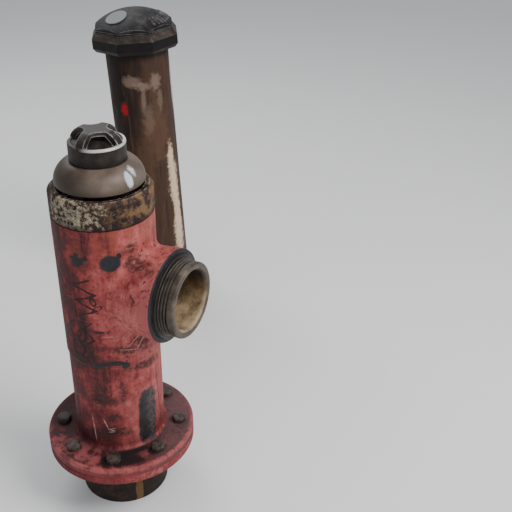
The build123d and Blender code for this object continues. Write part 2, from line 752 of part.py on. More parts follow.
with BuildPart() as spinning_guard:
    with BuildSketch(Plane.XZ):
        with BuildLine():
            Polyline(
                (floor_edge_r, floor_edge_z),
                (floor_edge_r, guard_rim),
                (guard_r, guard_rim),
                (guard_r, guard_bottom),
                (guard_bore_d / 2, guard_bottom),
                (guard_bore_d / 2, guard_ceiling),
                (boss_outer_r, guard_ceiling),
                (boss_outer_r, guard_boss_bottom),
                (boss_inner_r, guard_boss_bottom),
                (boss_inner_r, guard_ceiling),
                (0, guard_ceiling),
                (0, floor_crown),
            )
            ThreePointArc((0, floor_crown), (floor_edge_r / 2, floor_middle_z), (floor_edge_r, floor_edge_z))
        make_face()
    revolve(axis=Axis.Z)
    rim_edge = spinning_guard.edges().filter_by(GeomType.CIRCLE).filter_by_position(
        Axis.Z, guard_rim - near, guard_rim + near
    )
    fillet(rim_edge.sort_by(SortBy.RADIUS)[-1], guard_rim_round)
    add(guard_arms.part)
    with BuildSketch(Plane.XY.offset(snap_ring_bottom - slip / 2)):
        Circle(snap_ring_d / 2 + slip / 2)
        Circle(guard_bore_d / 2 - slip, mode=Mode.SUBTRACT)
    extrude(amount=snap_ring_thick + slip, mode=Mode.SUBTRACT)
finish(spinning_guard, "spinning_guard")

snap_ring = spun_ring(snap_ring_d, snap_ring_bore, snap_ring_bottom, snap_ring_thick)
finish(snap_ring, "snap_ring")

with BuildPart() as clutch_plate:
    with BuildSketch(Plane.XY.offset(clutch_bottom)):
        Circle(clutch_d / 2)
        RegularPolygon(pentagon_r + running, 5, mode=Mode.SUBTRACT)
    extrude(amount=clutch_thick)
finish(clutch_plate, "clutch_plate")

# ---------------------------------------------------------------- stem and its breakaway coupling

with BuildPart() as stem:
    with BuildSketch(Plane.XY.offset(coupling_middle + stem_end_gap / 2)):
        Circle(stem_r)
    extrude(amount=stem_top - coupling_middle - stem_end_gap / 2)
    chamfer(stem.faces().sort_by(Axis.Z)[-1].edges(), stem_chamfer)
    with BuildSketch(Plane.XZ.offset(-coupling_d / 2)):
        with Locations((0, coupling_middle + coupling_pin_spacing / 2)):
            Circle(coupling_pin_d / 2 + slip / 2)
    extrude(amount=coupling_d, mode=Mode.SUBTRACT)
finish(stem, "stem")

with BuildPart() as lower_stem:
    with BuildSketch(Plane.XY.offset(coupling_middle - stem_end_gap / 2)):
        Circle(stem_r)
    extrude(amount=-lower_stem_length)
    with BuildSketch(Plane.XZ.offset(-coupling_d / 2)):
        with Locations((0, coupling_middle - coupling_pin_spacing / 2)):
            Circle(coupling_pin_d / 2 + slip / 2)
    extrude(amount=coupling_d, mode=Mode.SUBTRACT)
finish(lower_stem, "lower_stem")

with BuildPart() as breakaway_coupling:
    with BuildSketch(Plane.XZ):
        with BuildLine():
            Polyline(
                (stem_r + slip / 2, coupling_middle - coupling_length / 2),
                (coupling_d / 2, coupling_middle - coupling_length / 2),
                (coupling_d / 2, coupling_middle - coupling_notch),
                (coupling_neck_d / 2, coupling_middle),
                (coupling_d / 2, coupling_middle + coupling_notch),
                (coupling_d / 2, coupling_middle + coupling_length / 2),
                (stem_r + slip / 2, coupling_middle + coupling_length / 2),
                close=True,
            )
        make_face()
    revolve(axis=Axis.Z)
    with BuildSketch(Plane.XZ.offset(-coupling_d)):
        with GridLocations(0, coupling_pin_spacing, 1, 2):
            with Locations((0, coupling_middle)):
                Circle(coupling_pin_d / 2 + slip / 2)
    extrude(amount=2 * coupling_d, mode=Mode.SUBTRACT)
finish(breakaway_coupling, "breakaway_coupling")

with BuildPart() as coupling_pins:
    with BuildSketch(Plane.XZ.offset(-coupling_d / 2)):
        with GridLocations(0, coupling_pin_spacing, 1, 2):
            with Locations((0, coupling_middle)):
                Circle(coupling_pin_d / 2)
    extrude(amount=coupling_d)
finish(coupling_pins, "coupling_pins")

# ---------------------------------------------------------------- guard post

cap_bottom = post_length - cap_skirt
cap_side_bottom = cap_bottom + cap_foot_chamfer
cap_side_top = cap_side_bottom + cap_side_height
cap_shoulder_top = cap_side_top + cap_shoulder
cap_brim_bottom = cap_shoulder_top + cap_groove
cap_brim_top = cap_brim_bottom + cap_brim_thick
cap_top = cap_brim_top + cap_crown_rise
cap_turn = cap_facet_angle - 180 / cap_sides
cap_corner_r = cap_top_flats / 2 / cos(radians(180 / cap_sides))
crown_drop = cap_crown_rise + cap_corner_drop
crown_r = (cap_corner_r**2 + crown_drop**2) / (2 * crown_drop)
crown_middle = cap_top - crown_r + (crown_r**2 - (cap_corner_r / 2) ** 2) ** 0.5
cap_rib_r = cap_top_flats / 2 - cap_rib_inset
post_axis = Axis(post_plane.origin, post_plane.z_dir)
post_section = Plane(origin=post_plane.origin, x_dir=post_plane.x_dir, z_dir=-post_plane.y_dir)
cap_bore_r = post_od / 2 - 2 * post_wall
cap_bore_top = cap_top - crown_r + (crown_r**2 - cap_bore_r**2) ** 0.5 - cap_roof
crown_centre = post_plane.offset(cap_top - crown_r)
tag_x = tag_offset * cos(radians(tag_heading))
tag_y = tag_offset * sin(radians(tag_heading))
tag_spot = crown_centre.from_local_coords((tag_x, tag_y, (crown_r**2 - tag_offset**2) ** 0.5))
tag_seat = Plane(origin=tag_spot, z_dir=tag_spot - crown_centre.origin).offset(-tag_sink)

with BuildPart() as post_pipe:
    with BuildSketch(post_plane.offset(-post_od / 4)):
        Circle(post_od / 2)
        Circle(post_od / 2 - post_wall, mode=Mode.SUBTRACT)
    extrude(amount=post_length + post_od / 4)
    split(bisect_by=Plane.XY, keep=Keep.TOP)
finish(post_pipe, "post_pipe")

cap_tiers = (
    (cap_bottom, cap_foot_flats, cap_side_bottom, cap_flats),
    (cap_side_bottom, cap_flats, cap_side_top, cap_flats),
    (cap_side_top, cap_flats, cap_shoulder_top, cap_top_flats),
    (cap_shoulder_top, cap_groove_flats, cap_brim_bottom, cap_groove_flats),
    (cap_brim_bottom, cap_top_flats, cap_top, cap_top_flats),
)


def above_crown(lift):
    """A cutter for what stands above the crown's curve, raised by lift."""
    with BuildPart() as cutter:
        with BuildSketch(post_section):
            with BuildLine():
                ThreePointArc(
                    (0, cap_top + lift),
                    (cap_corner_r / 2, crown_middle + lift),
                    (cap_corner_r, cap_top - crown_drop + lift),
                )
                Polyline(
                    (cap_corner_r, cap_top - crown_drop + lift),
                    (cap_corner_r + cut_over, cap_top - crown_drop + lift),
                    (cap_corner_r + cut_over, cap_top + cap_crown_rise),
                    (0, cap_top + cap_crown_rise),
                    (0, cap_top + lift),
                )
            make_face()
        revolve(axis=post_axis)
    return cutter


crown_cutter = above_crown(0)
rib_cutter = above_crown(cap_rib_height)

with BuildPart() as post_cap:
    for low_height, low_flats, high_height, high_flats in cap_tiers:
        with BuildSketch(post_plane.offset(low_height)):
            RegularPolygon(low_flats / 2, cap_sides, major_radius=False, rotation=cap_turn)
        with BuildSketch(post_plane.offset(high_height)):
            RegularPolygon(high_flats / 2, cap_sides, major_radius=False, rotation=cap_turn)
        loft()
    add(crown_cutter.part, mode=Mode.SUBTRACT)
    with BuildSketch(post_plane.offset(cap_brim_bottom)):
        with PolarLocations(cap_rib_r, cap_rib_count, start_angle=cap_rib_first, angular_range=cap_rib_span):
            Rectangle(cap_rib_length, cap_rib_width)
    extrude(amount=cap_top - cap_brim_bottom)
    add(rib_cutter.part, mode=Mode.SUBTRACT)
    with BuildSketch(tag_seat):
        Circle(tag_d / 2 + slip)
    extrude(amount=2 * tag_sink, mode=Mode.SUBTRACT)
    with BuildSketch(post_plane.offset(cap_bottom)):
        Circle(post_od / 2 + slip)
    extrude(amount=cap_skirt, mode=Mode.SUBTRACT)
    with BuildSketch(post_plane.offset(post_length)):
        Circle(cap_bore_r)
    extrude(amount=cap_bore_top - post_length, mode=Mode.SUBTRACT)
finish(post_cap, "post_cap")

with BuildPart() as post_tag:
    with BuildSketch(tag_seat):
        Circle(tag_d / 2)
    extrude(amount=tag_thick)
    chamfer(post_tag.faces().filter_by(GeomType.PLANE).sort_by(Axis.Z)[-1].edges(), tag_chamfer)
finish(post_tag, "post_tag")
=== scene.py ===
# %% [markdown]
# # A street fire hydrant and its guard post
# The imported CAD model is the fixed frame: it gives every iron, brass and steel body its size and place.
# This lesson gives those bodies their worn finishes. It models again only the flange bolts, whose look
# depends on small worn shapes. The scribble on the barrel is paint, so it is a mask in the finish.

from math import cos, degrees, hypot, radians, sin

import bmesh
import bpy
from mathutils import Matrix, Vector


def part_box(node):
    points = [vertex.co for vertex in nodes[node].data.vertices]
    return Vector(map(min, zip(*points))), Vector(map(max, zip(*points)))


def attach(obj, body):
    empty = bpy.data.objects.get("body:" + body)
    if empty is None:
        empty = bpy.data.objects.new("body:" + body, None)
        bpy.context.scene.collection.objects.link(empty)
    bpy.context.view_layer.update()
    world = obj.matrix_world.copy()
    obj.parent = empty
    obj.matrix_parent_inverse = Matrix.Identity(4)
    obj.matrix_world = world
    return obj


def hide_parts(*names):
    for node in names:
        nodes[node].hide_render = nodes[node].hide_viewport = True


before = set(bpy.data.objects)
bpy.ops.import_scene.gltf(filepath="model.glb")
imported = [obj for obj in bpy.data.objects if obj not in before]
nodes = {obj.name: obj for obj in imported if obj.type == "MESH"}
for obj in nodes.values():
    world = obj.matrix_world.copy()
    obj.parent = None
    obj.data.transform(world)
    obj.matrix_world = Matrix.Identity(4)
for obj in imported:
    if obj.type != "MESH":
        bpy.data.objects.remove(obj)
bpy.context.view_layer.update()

# %% [markdown]
# ## Camera
# A hydrant is looked down on by anyone who walks past it. The camera stands 1.3 m up on the outlet's left
# and looks down by 30 degrees. A longish lens keeps the barrel's sides nearly parallel.

# %% Camera
CAMERA_PLACE = Vector((-1.098, -0.810, 1.3235))
CAMERA_HEADING = 24.47
CAMERA_TILT = 29.84
CAMERA_ROLL = 0.8

camera_data = bpy.data.cameras.new("camera")
camera_data.lens = 57.18
camera_data.sensor_width = 36
camera_data.clip_start = 0.01
camera = bpy.data.objects.new("camera", camera_data)
bpy.context.scene.collection.objects.link(camera)
camera.matrix_world = (
    Matrix.Translation(CAMERA_PLACE)
    @ Matrix.Rotation(radians(CAMERA_HEADING - 90), 4, "Z")
    @ Matrix.Rotation(radians(90 - CAMERA_TILT), 4, "X")
    @ Matrix.Rotation(radians(CAMERA_ROLL), 4, "Z")
)
bpy.context.scene.camera = camera
print("camera at", tuple(camera.location))


# %% [markdown]
# ## Tools for node materials
# Every finish here is a small tree of the same few steps: a noise of a real size in metres, a smooth
# step that turns it into a mask, and a coat of colour laid over where the mask is 1. Writing those steps
# once keeps each finish short enough to read as a list of what happened to the metal.

# %% Colour and node helpers
def srgb(red, green, blue):
    """A colour given as 0-255 screen values, as the linear colour that sockets take."""
    steps = [c / 255 for c in (red, green, blue)]
    linear = [c / 12.92 if c <= 0.04045 else ((c + 0.055) / 1.055) ** 2.4 for c in steps]
    return (*linear, 1.0)


def put(tree, kind, inputs=None, **settings):
    """Adds a node, sets its options, and fills its inputs with values or links."""
    node = tree.nodes.new(kind)
    for key, value in settings.items():
        setattr(node, key, value)
    for key, value in (inputs or {}).items():
        if isinstance(value, bpy.types.NodeSocket):
            tree.links.new(value, node.inputs[key])
        else:
            node.inputs[key].default_value = value
    return node


def cloud(tree, coords, size, detail=4.0, stretch=(1, 1, 1), seed=0.0, rough=0.55):
    """Soft noise from 0 to 1 whose lumps are about size metres across, stretched along each axis."""
    scale = [1 / s for s in stretch]
    place = {"Vector": coords, "Location": (seed, seed * 1.7, seed * 0.6), "Scale": scale}
    moved = put(tree, "ShaderNodeMapping", place)
    settings = {"Vector": moved.outputs[0], "Scale": 1 / size, "Detail": detail, "Roughness": rough}
    return put(tree, "ShaderNodeTexNoise", settings).outputs["Fac"]


def fade(tree, value, low, high, start=0.0, end=1.0):
    """A smooth step: start below low, end above high."""
    limits = {"Value": value, "From Min": low, "From Max": high, "To Min": start, "To Max": end}
    return put(tree, "ShaderNodeMapRange", limits, interpolation_type="SMOOTHSTEP").outputs[0]


def maths(tree, how, first, second=0.0):
    return put(tree, "ShaderNodeMath", {0: first, 1: second}, operation=how).outputs[0]


def times(tree, first, *others):
    for other in others:
        first = maths(tree, "MULTIPLY", first, other)
    return first


def either(tree, first, *others):
    for other in others:
        first = maths(tree, "MAXIMUM", first, other)
    return first


def coat(tree, mask, under, over, how="MIX"):
    """Lays the colour over on the colour under where mask is 1."""
    layers = {0: mask, 6: under, 7: over}
    return put(tree, "ShaderNodeMix", layers, data_type="RGBA", blend_type=how).outputs[2]


def ramp(tree, value, *stops):
    """A run of colours along value; each stop is a place from 0 to 1 and a colour."""
    node = put(tree, "ShaderNodeValToRGB", {"Fac": value})
    elements = node.color_ramp.elements
    for spare in list(elements)[1:]:
        elements.remove(spare)
    elements[0].position, elements[0].color = stops[0]
    for position, colour in stops[1:]:
        elements.new(position).color = colour
    return node.outputs[0]


# %% Places on the hydrant
def polar(heading, radius, height):
    """The point at a heading in degrees, a radius and a height about the stem's axis."""
    return Vector((radius * cos(radians(heading)), radius * sin(radians(heading)), height))


def height_of(tree, coords):
    return put(tree, "ShaderNodeSeparateXYZ", {0: coords}).outputs[2]


def along(tree, coords, direction, origin=(0, 0, 0)):
    """Distance along a direction, from an origin."""
    moved = put(tree, "ShaderNodeVectorMath", {0: coords, 1: origin}, operation="SUBTRACT").outputs[0]
    product = put(tree, "ShaderNodeVectorMath", {0: moved, 1: direction}, operation="DOT_PRODUCT")
    return product.outputs["Value"]


def off_axis(tree, coords, across=(1, 1, 0), origin=(0, 0, 0)):
    """Distance from an axis through origin, measured in the plane of across."""
    moved = put(tree, "ShaderNodeVectorMath", {0: coords, 1: origin}, operation="SUBTRACT").outputs[0]
    flat = put(tree, "ShaderNodeVectorMath", {0: moved, 1: across}, operation="MULTIPLY").outputs[0]
    return put(tree, "ShaderNodeVectorMath", {0: flat}, operation="LENGTH").outputs["Value"]


PATCH_DEEP = 0.05  # how far into the surface a patch reaches
OVAL_DEEP = 0.06
BLOCK_CORNER = 5.0  # power that squares a block off
BLOCK_RAGGED = 2.4


def local_place(tree, coords, centre, heading, sizes, lean):
    """Coordinates about centre on a surface that faces heading, in shares of sizes: deep, wide, tall."""
    turn = (radians(lean), 0, radians(heading))
    settings = {"Vector": coords, "Location": centre, "Rotation": turn, "Scale": sizes}
    return put(tree, "ShaderNodeMapping", settings, vector_type="TEXTURE").outputs[0]


def spot(tree, coords, centre, heading, wide, tall, lean=0.0, ragged=0.25, edge=0.15, deep=PATCH_DEEP):
    """A patch about centre, on a surface that faces heading: 1 inside, 0 outside, with a ragged rim."""
    local = local_place(tree, coords, centre, heading, (deep, wide, tall), lean)
    reach = put(tree, "ShaderNodeVectorMath", {0: local}, operation="LENGTH").outputs["Value"]
    wobble = cloud(tree, coords, max(min(wide, tall) * 0.8, 0.003), detail=3, seed=centre[2] * 7)
    wobble = maths(tree, "MULTIPLY", maths(tree, "SUBTRACT", wobble, 0.5), ragged * 4)
    return fade(tree, maths(tree, "ADD", reach, wobble), 1 + edge, 1 - edge)


def block(tree, coords, centre, heading, wide, tall, lean):
    """A patch like spot's, but a rectangle with round corners."""
    local = local_place(tree, coords, centre, heading, (PATCH_DEEP, wide, tall), lean)
    parts = put(tree, "ShaderNodeSeparateXYZ", {0: local}).outputs
    powers = [maths(tree, "POWER", maths(tree, "ABSOLUTE", part), BLOCK_CORNER) for part in parts]
    reach = maths(tree, "ADD", maths(tree, "ADD", powers[0], powers[1]), powers[2])
    noise = cloud(tree, coords, 0.012, detail=5, seed=centre[2] * 9, rough=0.65)
    wobble = maths(tree, "SUBTRACT", noise, 0.5)
    return fade(tree, maths(tree, "ADD", reach, times(tree, wobble, BLOCK_RAGGED)), 1.5, 0.5)


def stroke(tree, coords, distance, wide):
    """1 where distance from a line is under half of wide, thinner and thicker along its way."""
    press = cloud(tree, coords, 0.012, detail=3, seed=2.8)
    half = times(tree, fade(tree, press, 0.3, 0.7, 0.5, 1.1), wide / 2)
    inside = maths(tree, "DIVIDE", maths(tree, "ABSOLUTE", distance), half)
    return fade(tree, inside, 1.3, 0.8)


def ring(tree, coords, centre, heading, wide, tall, lean=0.0, line=0.0042):
    """An oval line about centre, drawn on a surface that faces heading."""
    local = local_place(tree, coords, centre, heading, (OVAL_DEEP, wide, tall), lean)
    flat = put(tree, "ShaderNodeVectorMath", {0: local, 1: (0, 1, 1)}, operation="MULTIPLY").outputs[0]
    reach = put(tree, "ShaderNodeVectorMath", {0: flat}, operation="LENGTH").outputs["Value"]
    depth = put(tree, "ShaderNodeSeparateXYZ", {0: local}).outputs[0]
    near = fade(tree, maths(tree, "ABSOLUTE", depth), 1.2, 0.9)
    mean = (wide + tall) / 2
    distance = times(tree, maths(tree, "SUBTRACT", reach, 1.0), mean)
    return times(tree, stroke(tree, coords, distance, line), near)


def zigzag(tree, coords, heading, low, high, reach, period, lean=0.0, line=0.0044):
    """An up-and-down scrawl between two heights, reach metres to each side of a heading."""
    sideways = along(tree, coords, polar(heading + 90, 1, 0))
    height = height_of(tree, coords)
    slant = times(tree, maths(tree, "SUBTRACT", height, low), lean)
    wave = maths(tree, "PINGPONG", maths(tree, "ADD", height, 0.003), period / 2)
    wave = maths(tree, "SUBTRACT", times(tree, wave, 4 * reach / period), reach)
    noise = cloud(tree, coords, 0.02, detail=2, seed=heading)
    wobble = times(tree, maths(tree, "SUBTRACT", noise, 0.5), 0.016)
    straight = maths(tree, "SUBTRACT", sideways, slant)
    distance = maths(tree, "SUBTRACT", straight, maths(tree, "ADD", wave, wobble))
    steep = line * hypot(1, 4 * reach / period)
    span = fade(tree, height, low - 0.001, low + 0.001)
    span = times(tree, span, fade(tree, height, high + 0.001, high - 0.001))
    front = fade(tree, along(tree, coords, polar(heading, 1, 0)), 0.04, 0.05)
    return times(tree, stroke(tree, coords, distance, steep), span, front)


def worn_edges(tree, radius, low=0.03, high=0.16):
    """1 along edges sharper than radius metres, from how far a rounded normal leaves the true one."""
    rounded = put(tree, "ShaderNodeBevel", {"Radius": radius}, samples=6).outputs[0]
    true = put(tree, "ShaderNodeNewGeometry").outputs["Normal"]
    same = put(tree, "ShaderNodeVectorMath", {0: rounded, 1: true}, operation="DOT_PRODUCT").outputs["Value"]
    return fade(tree, same, 1 - low, 1 - high)


# %% Starting and wiring a finish
def new_finish(name, metallic=0.0, specular=0.5):
    """A material with its tree, its shader and its object coordinates."""
    finish = bpy.data.materials.new(name)
    finish.use_nodes = True
    tree = finish.node_tree
    shader = tree.nodes["Principled BSDF"]
    shader.inputs["Metallic"].default_value = metallic
    shader.inputs["Specular IOR Level"].default_value = specular
    return finish, tree, shader, put(tree, "ShaderNodeTexCoord").outputs["Object"]


def wire(tree, shader, colour, roughness, height=None, bump=0.3, depth=0.001, metallic=None):
    """Connects a finish's colour, roughness and relief to its shader."""
    tree.links.new(colour, shader.inputs["Base Color"])
    tree.links.new(roughness, shader.inputs["Roughness"])
    if metallic is not None:
        tree.links.new(metallic, shader.inputs["Metallic"])
    if height is not None:
        relief = put(tree, "ShaderNodeBump", {"Height": height, "Strength": bump, "Distance": depth})
        tree.links.new(relief.outputs[0], shader.inputs["Normal"])


def dress(node_name, finish):
    """Gives a CAD node its finish."""
    mesh = nodes[node_name].data
    mesh.materials.clear()
    mesh.materials.append(finish)


# %% [markdown]
# ## Floor and light
# The floor is plain and pale. Daylight under cloud is one broad soft source with little fill, so the
# large key panel hangs on the outlet's side, where the barrel is brightest, and the far side falls off.

# %% Floor and lights
floor_mesh = bpy.data.meshes.new("floor")
floor_form = bmesh.new()
bmesh.ops.create_grid(floor_form, x_segments=1, y_segments=1, size=15)
floor_form.to_mesh(floor_mesh)
floor_form.free()
floor = bpy.data.objects.new("floor", floor_mesh)
bpy.context.scene.collection.objects.link(floor)
floor.location.z = -0.0005
floor_finish, tree, shader, coords = new_finish("pale_floor")
floor_tone = coat(tree, cloud(tree, coords, 0.6), srgb(248, 248, 248), srgb(252, 252, 252))
wire(tree, shader, floor_tone, fade(tree, cloud(tree, coords, 0.3), 0, 1, 0.85, 0.95))
floor_mesh.materials.append(floor_finish)

LIGHT_TARGET = Vector((0.15, 0.05, 0.42))


def soft_panel(name, heading, distance, height, size, power, colour=(1, 1, 1)):
    data = bpy.data.lights.new(name, "AREA")
    data.shape = "DISK"
    data.size = size
    data.energy = power
    data.color = colour
    light = bpy.data.objects.new(name, data)
    bpy.context.scene.collection.objects.link(light)
    light.location = LIGHT_TARGET + polar(heading, distance, height)
    light.rotation_euler = (LIGHT_TARGET - light.location).to_track_quat("-Z", "Y").to_euler()


soft_panel("key", -92, 1.9, 2.0, 1.5, 58, (1.0, 0.98, 0.96))
soft_panel("fill", -165, 2.6, 1.6, 2.0, 7, (0.94, 0.97, 1.0))
soft_panel("back", 50, 2.2, 2.2, 1.6, 30)
world = bpy.data.worlds.new("studio")
bpy.context.scene.world = world
world.use_nodes = True
world.node_tree.nodes["Background"].inputs["Color"].default_value = srgb(240, 243, 247)
world.node_tree.nodes["Background"].inputs["Strength"].default_value = 0.5

# %% [markdown]
# ## Levels of the real pieces
# A mark keeps its place on the iron when its height and radius are read from the frame's own nodes.

# %% Levels read from the frame
BARREL_R = 0.09125
NOZZLE_PROUD = 0.03705  # boss face to the lip
BOLT_HEAD = 0.011
STEP_BELOW_OUTLET = 0.142  # outlet's axis to the top of the plain barrel
STEP_OUT = 0.0025  # how far the barrel widens at its step
GUARD_RIM_UP = 0.0334  # guard's foot to its rim
flange_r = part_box("lower_barrel")[1].x
flange_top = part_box("flange_bolts")[1].z - BOLT_HEAD
stub_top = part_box("flange_nuts")[1].z
barrel_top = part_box("upper_barrel")[1].z
barrel_top_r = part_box("bonnet")[1].x
bonnet_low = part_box("bonnet")[0].z
dome_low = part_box("security_dome")[0]
guard_low, guard_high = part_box("spinning_guard")
nozzle_low, nozzle_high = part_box("outlet_nozzle")
outlet_z = (nozzle_low.z + nozzle_high.z) / 2
boss_face_y = nozzle_low.y + NOZZLE_PROUD
step_top = outlet_z - STEP_BELOW_OUTLET
print("flange top", round(flange_top, 4), "barrel top", round(barrel_top, 4), "outlet", round(outlet_z, 4))


def barrel_radius(height):
    """The barrel's outside at a height: plain below the step, then widening to the bonnet."""
    if height < step_top:
        return BARREL_R
    share = (height - step_top) / (barrel_top - step_top)
    return BARREL_R + STEP_OUT + share * (barrel_top_r - BARREL_R - STEP_OUT)


# %% [markdown]
# ## Faded red paint
# The barrel's paint has gone chalky. It is pink where the weather bleached it, dark red where it is still
# thick or dirty, and brown where rust runs from the bonnet. Three noises of different sizes mix those
# tones, and a gradient across the barrel paints light on the outlet's side and shade on the far side.
# Chips go down to black iron, and a few bare patches are placed by heading and height.

# %% Tones of the paint
RED_DARK = srgb(60, 18, 24)
RED_DEEP = srgb(108, 38, 42)
RED_MAIN = srgb(154, 64, 62)
RED_PALE = srgb(190, 98, 95)
RED_BLEACHED = srgb(212, 138, 132)
RED_ORANGE = srgb(146, 72, 52)
IRON_DARK = srgb(34, 26, 25)
IRON_BLUE = srgb(36, 40, 47)
DIRT = srgb(48, 30, 27)
SOOT_AND_SHADOW = srgb(24, 16, 20)
CHIP_RED = srgb(52, 18, 22)
SCRAWL_DARK = srgb(38, 12, 18)
SCRAPE_PALE = srgb(216, 166, 156)
BLOCK_WORN = srgb(92, 78, 76)
FLANGE_ROSY = srgb(160, 78, 80)
FLANGE_ASHEN = srgb(92, 68, 71)
FLANGE_LIP_HIGHLIGHT = srgb(172, 88, 86)

# Each bare patch: heading, height, half width, half height, lean, raggedness.
BARE_PATCHES = (
    (-141, 0.590, 0.0195, 0.0170, 0, 0.07),
    (-131, 0.603, 0.0050, 0.0060, 0, 0.15),
    (-179, 0.594, 0.0130, 0.0120, 20, 0.55),
    (-168, 0.600, 0.0050, 0.0050, 0, 0.60),
    (-127, 0.529, 0.0030, 0.0130, 12, 0.45),
    (-105, 0.502, 0.0045, 0.0045, 0, 0.30),
    (-108, 0.439, 0.0050, 0.0050, 0, 0.35),
    (-161, 0.442, 0.0120, 0.0030, 0, 0.35),
    (-167, 0.362, 0.0090, 0.0080, -25, 0.30),
    (-157, 0.368, 0.0130, 0.0055, 12, 0.30),
    (-143, 0.369, 0.0160, 0.0060, -8, 0.30),
    (-133, 0.360, 0.0080, 0.0100, 0, 0.35),
)
# Pale scrapes: heading, height, half width, half height, lean.
PALE_SCRAPES = (
    (-164, 0.216, 0.0014, 0.0130, 20),
    (-157, 0.204, 0.0070, 0.0012, 10),
    (-156, 0.200, 0.0060, 0.0010, -12),
    (-158, 0.196, 0.0060, 0.0010, 5),
    (179, 0.200, 0.0014, 0.0300, 4),
    (-112, 0.405, 0.0012, 0.0200, -38),
    (-120, 0.415, 0.0010, 0.0220, -50),
    (-126, 0.395, 0.0220, 0.0010, -14),
    (-150, 0.432, 0.0100, 0.0010, 4),
)
# Marks that only darken the paint, all stains but the first two: heading, height, half width, half height,
# lean.
DARK_STAINS_AND_SHADE = (
    # These two lie just under the outlet's boss: painted shade.
    (-130, 0.395, 0.050, 0.008, -12),
    (-108, 0.408, 0.030, 0.012, -20),
    (-113, 0.578, 0.020, 0.016, -20),
    (-118, 0.612, 0.014, 0.010, 0),
    (-172, 0.180, 0.024, 0.020, 0),
    (176, 0.385, 0.030, 0.030, 0),
    (-107, 0.345, 0.040, 0.010, -10),
    (-170, 0.277, 0.018, 0.012, 0),
    (-156, 0.274, 0.022, 0.009, 0),
    (-163, 0.200, 0.026, 0.014, 0),
    (-146, 0.196, 0.022, 0.012, 0),
    (-152, 0.235, 0.016, 0.010, 0),
    (-168, 0.300, 0.010, 0.040, 0),
    (-140, 0.300, 0.006, 0.030, 0),
    (-176, 0.430, 0.012, 0.060, 0),
    (-99, 0.470, 0.010, 0.020, 0),
    (-116, 0.455, 0.020, 0.014, 0),
    (-160, 0.345, 0.006, 0.030, 0),
)
# Scrawled ovals: heading, height, half width, half height, lean.
SCRAWL_RINGS = (
    (-164, 0.509, 0.0050, 0.0080, 20),
    (-160, 0.494, 0.0100, 0.0040, 35),
    (168, 0.438, 0.0150, 0.0170, 10),
    (177, 0.428, 0.0100, 0.0150, -15),
    (170, 0.397, 0.0150, 0.0170, 0),
    (176, 0.372, 0.0120, 0.0060, 10),
)
# The big bare block low on the outlet's side.
BLOCK_HEADING = -107.5
BLOCK_HEIGHT = 0.217
BLOCK_HALF_WIDE = 0.0220
BLOCK_HALF_TALL = 0.065
BLOCK_LEAN = -2
# Soot on the flange, and one painted shadow: heading, distance from the axis, half length along the rim, half
# width.
FLANGE_SOOT_AND_SHADOW = (
    (-147, 0.124, 0.046, 0.018),
    # This one is a painted shadow where the barrel meets the flange.
    (-134, 0.101, 0.034, 0.010),
    (-112, 0.122, 0.020, 0.013),
    (-155, 0.122, 0.021, 0.016),
    (160, 0.120, 0.017, 0.014),
    (115, 0.120, 0.017, 0.014),
)
SEAM_HEADING = -84.5
SEAM_HEIGHT = 0.245


# %% Red paint on the barrel
def red_tones(tree, coords):
    """The mixed tones of sound paint, with painted light on the outlet's side and painted shade on the far
    one.
    """
    broad = cloud(tree, coords, 0.10, detail=3, seed=1.3)
    blotch = cloud(tree, coords, 0.026, detail=5, seed=4.1, rough=0.62)
    mottle = cloud(tree, coords, 0.0075, detail=5, seed=6.6, rough=0.7)
    streaks = cloud(tree, coords, 0.011, detail=4, stretch=(1, 1, 8), seed=2.2)
    # Painted light on the outlet's side, which faces the key light, and painted shade on the far side.
    light_and_shade_gradient = fade(tree, along(tree, coords, (0.05, -1.0, 0.0)), -0.05, 0.11, -0.105, 0.075)
    mix = maths(tree, "ADD", times(tree, broad, 0.34), times(tree, blotch, 0.40))
    mix = maths(tree, "ADD", mix, times(tree, mottle, 0.26))
    mix = maths(tree, "SUBTRACT", mix, times(tree, fade(tree, streaks, 0.5, 0.7), 0.07))
    mix = maths(tree, "ADD", mix, light_and_shade_gradient)
    tones = ((0.33, RED_DARK), (0.41, RED_DEEP), (0.48, RED_MAIN), (0.59, RED_PALE), (0.72, RED_BLEACHED))
    return ramp(tree, mix, *tones), blotch, mottle


def stains_and_shade(tree, coords, colour, blotch, mottle):
    """Rust from the bonnet, dark paint and painted shade on the far side and low down, and the placed stains,
    over sound paint.
    """
    height = height_of(tree, coords)
    runs = cloud(tree, coords, 0.018, detail=4, stretch=(1, 1, 4), seed=3.1)
    near_top = fade(tree, height, barrel_top - 0.13, barrel_top - 0.004)
    colour = coat(tree, times(tree, near_top, fade(tree, runs, 0.36, 0.60), 0.55), colour, RED_ORANGE)
    # The far side is darker paint in blotches, and painted shade away from the key light.
    far_paint_and_shade = fade(tree, along(tree, coords, polar(130, 1, 0)), 0.035, 0.095)
    colour = coat(tree, times(tree, far_paint_and_shade, fade(tree, blotch, 0.60, 0.40, 0.25, 0.85)), colour, RED_DARK)
    # Darker towards the foot: streaky grime, and painted shade.
    low_grime_and_shade = fade(tree, height, step_top + 0.02, flange_top, 0.1, 0.62)
    colour = coat(tree, times(tree, low_grime_and_shade, fade(tree, runs, 0.30, 0.62, 0.4, 1.0)), colour, RED_DARK)
    for heading, at_height, wide, tall, lean in DARK_STAINS_AND_SHADE:
        stain = spot(tree, coords, polar(heading, BARREL_R, at_height), heading, wide, tall, lean, 0.5, 0.5)
        colour = coat(tree, times(tree, stain, fade(tree, mottle, 0.38, 0.52), 0.85), colour, DIRT)
    return colour


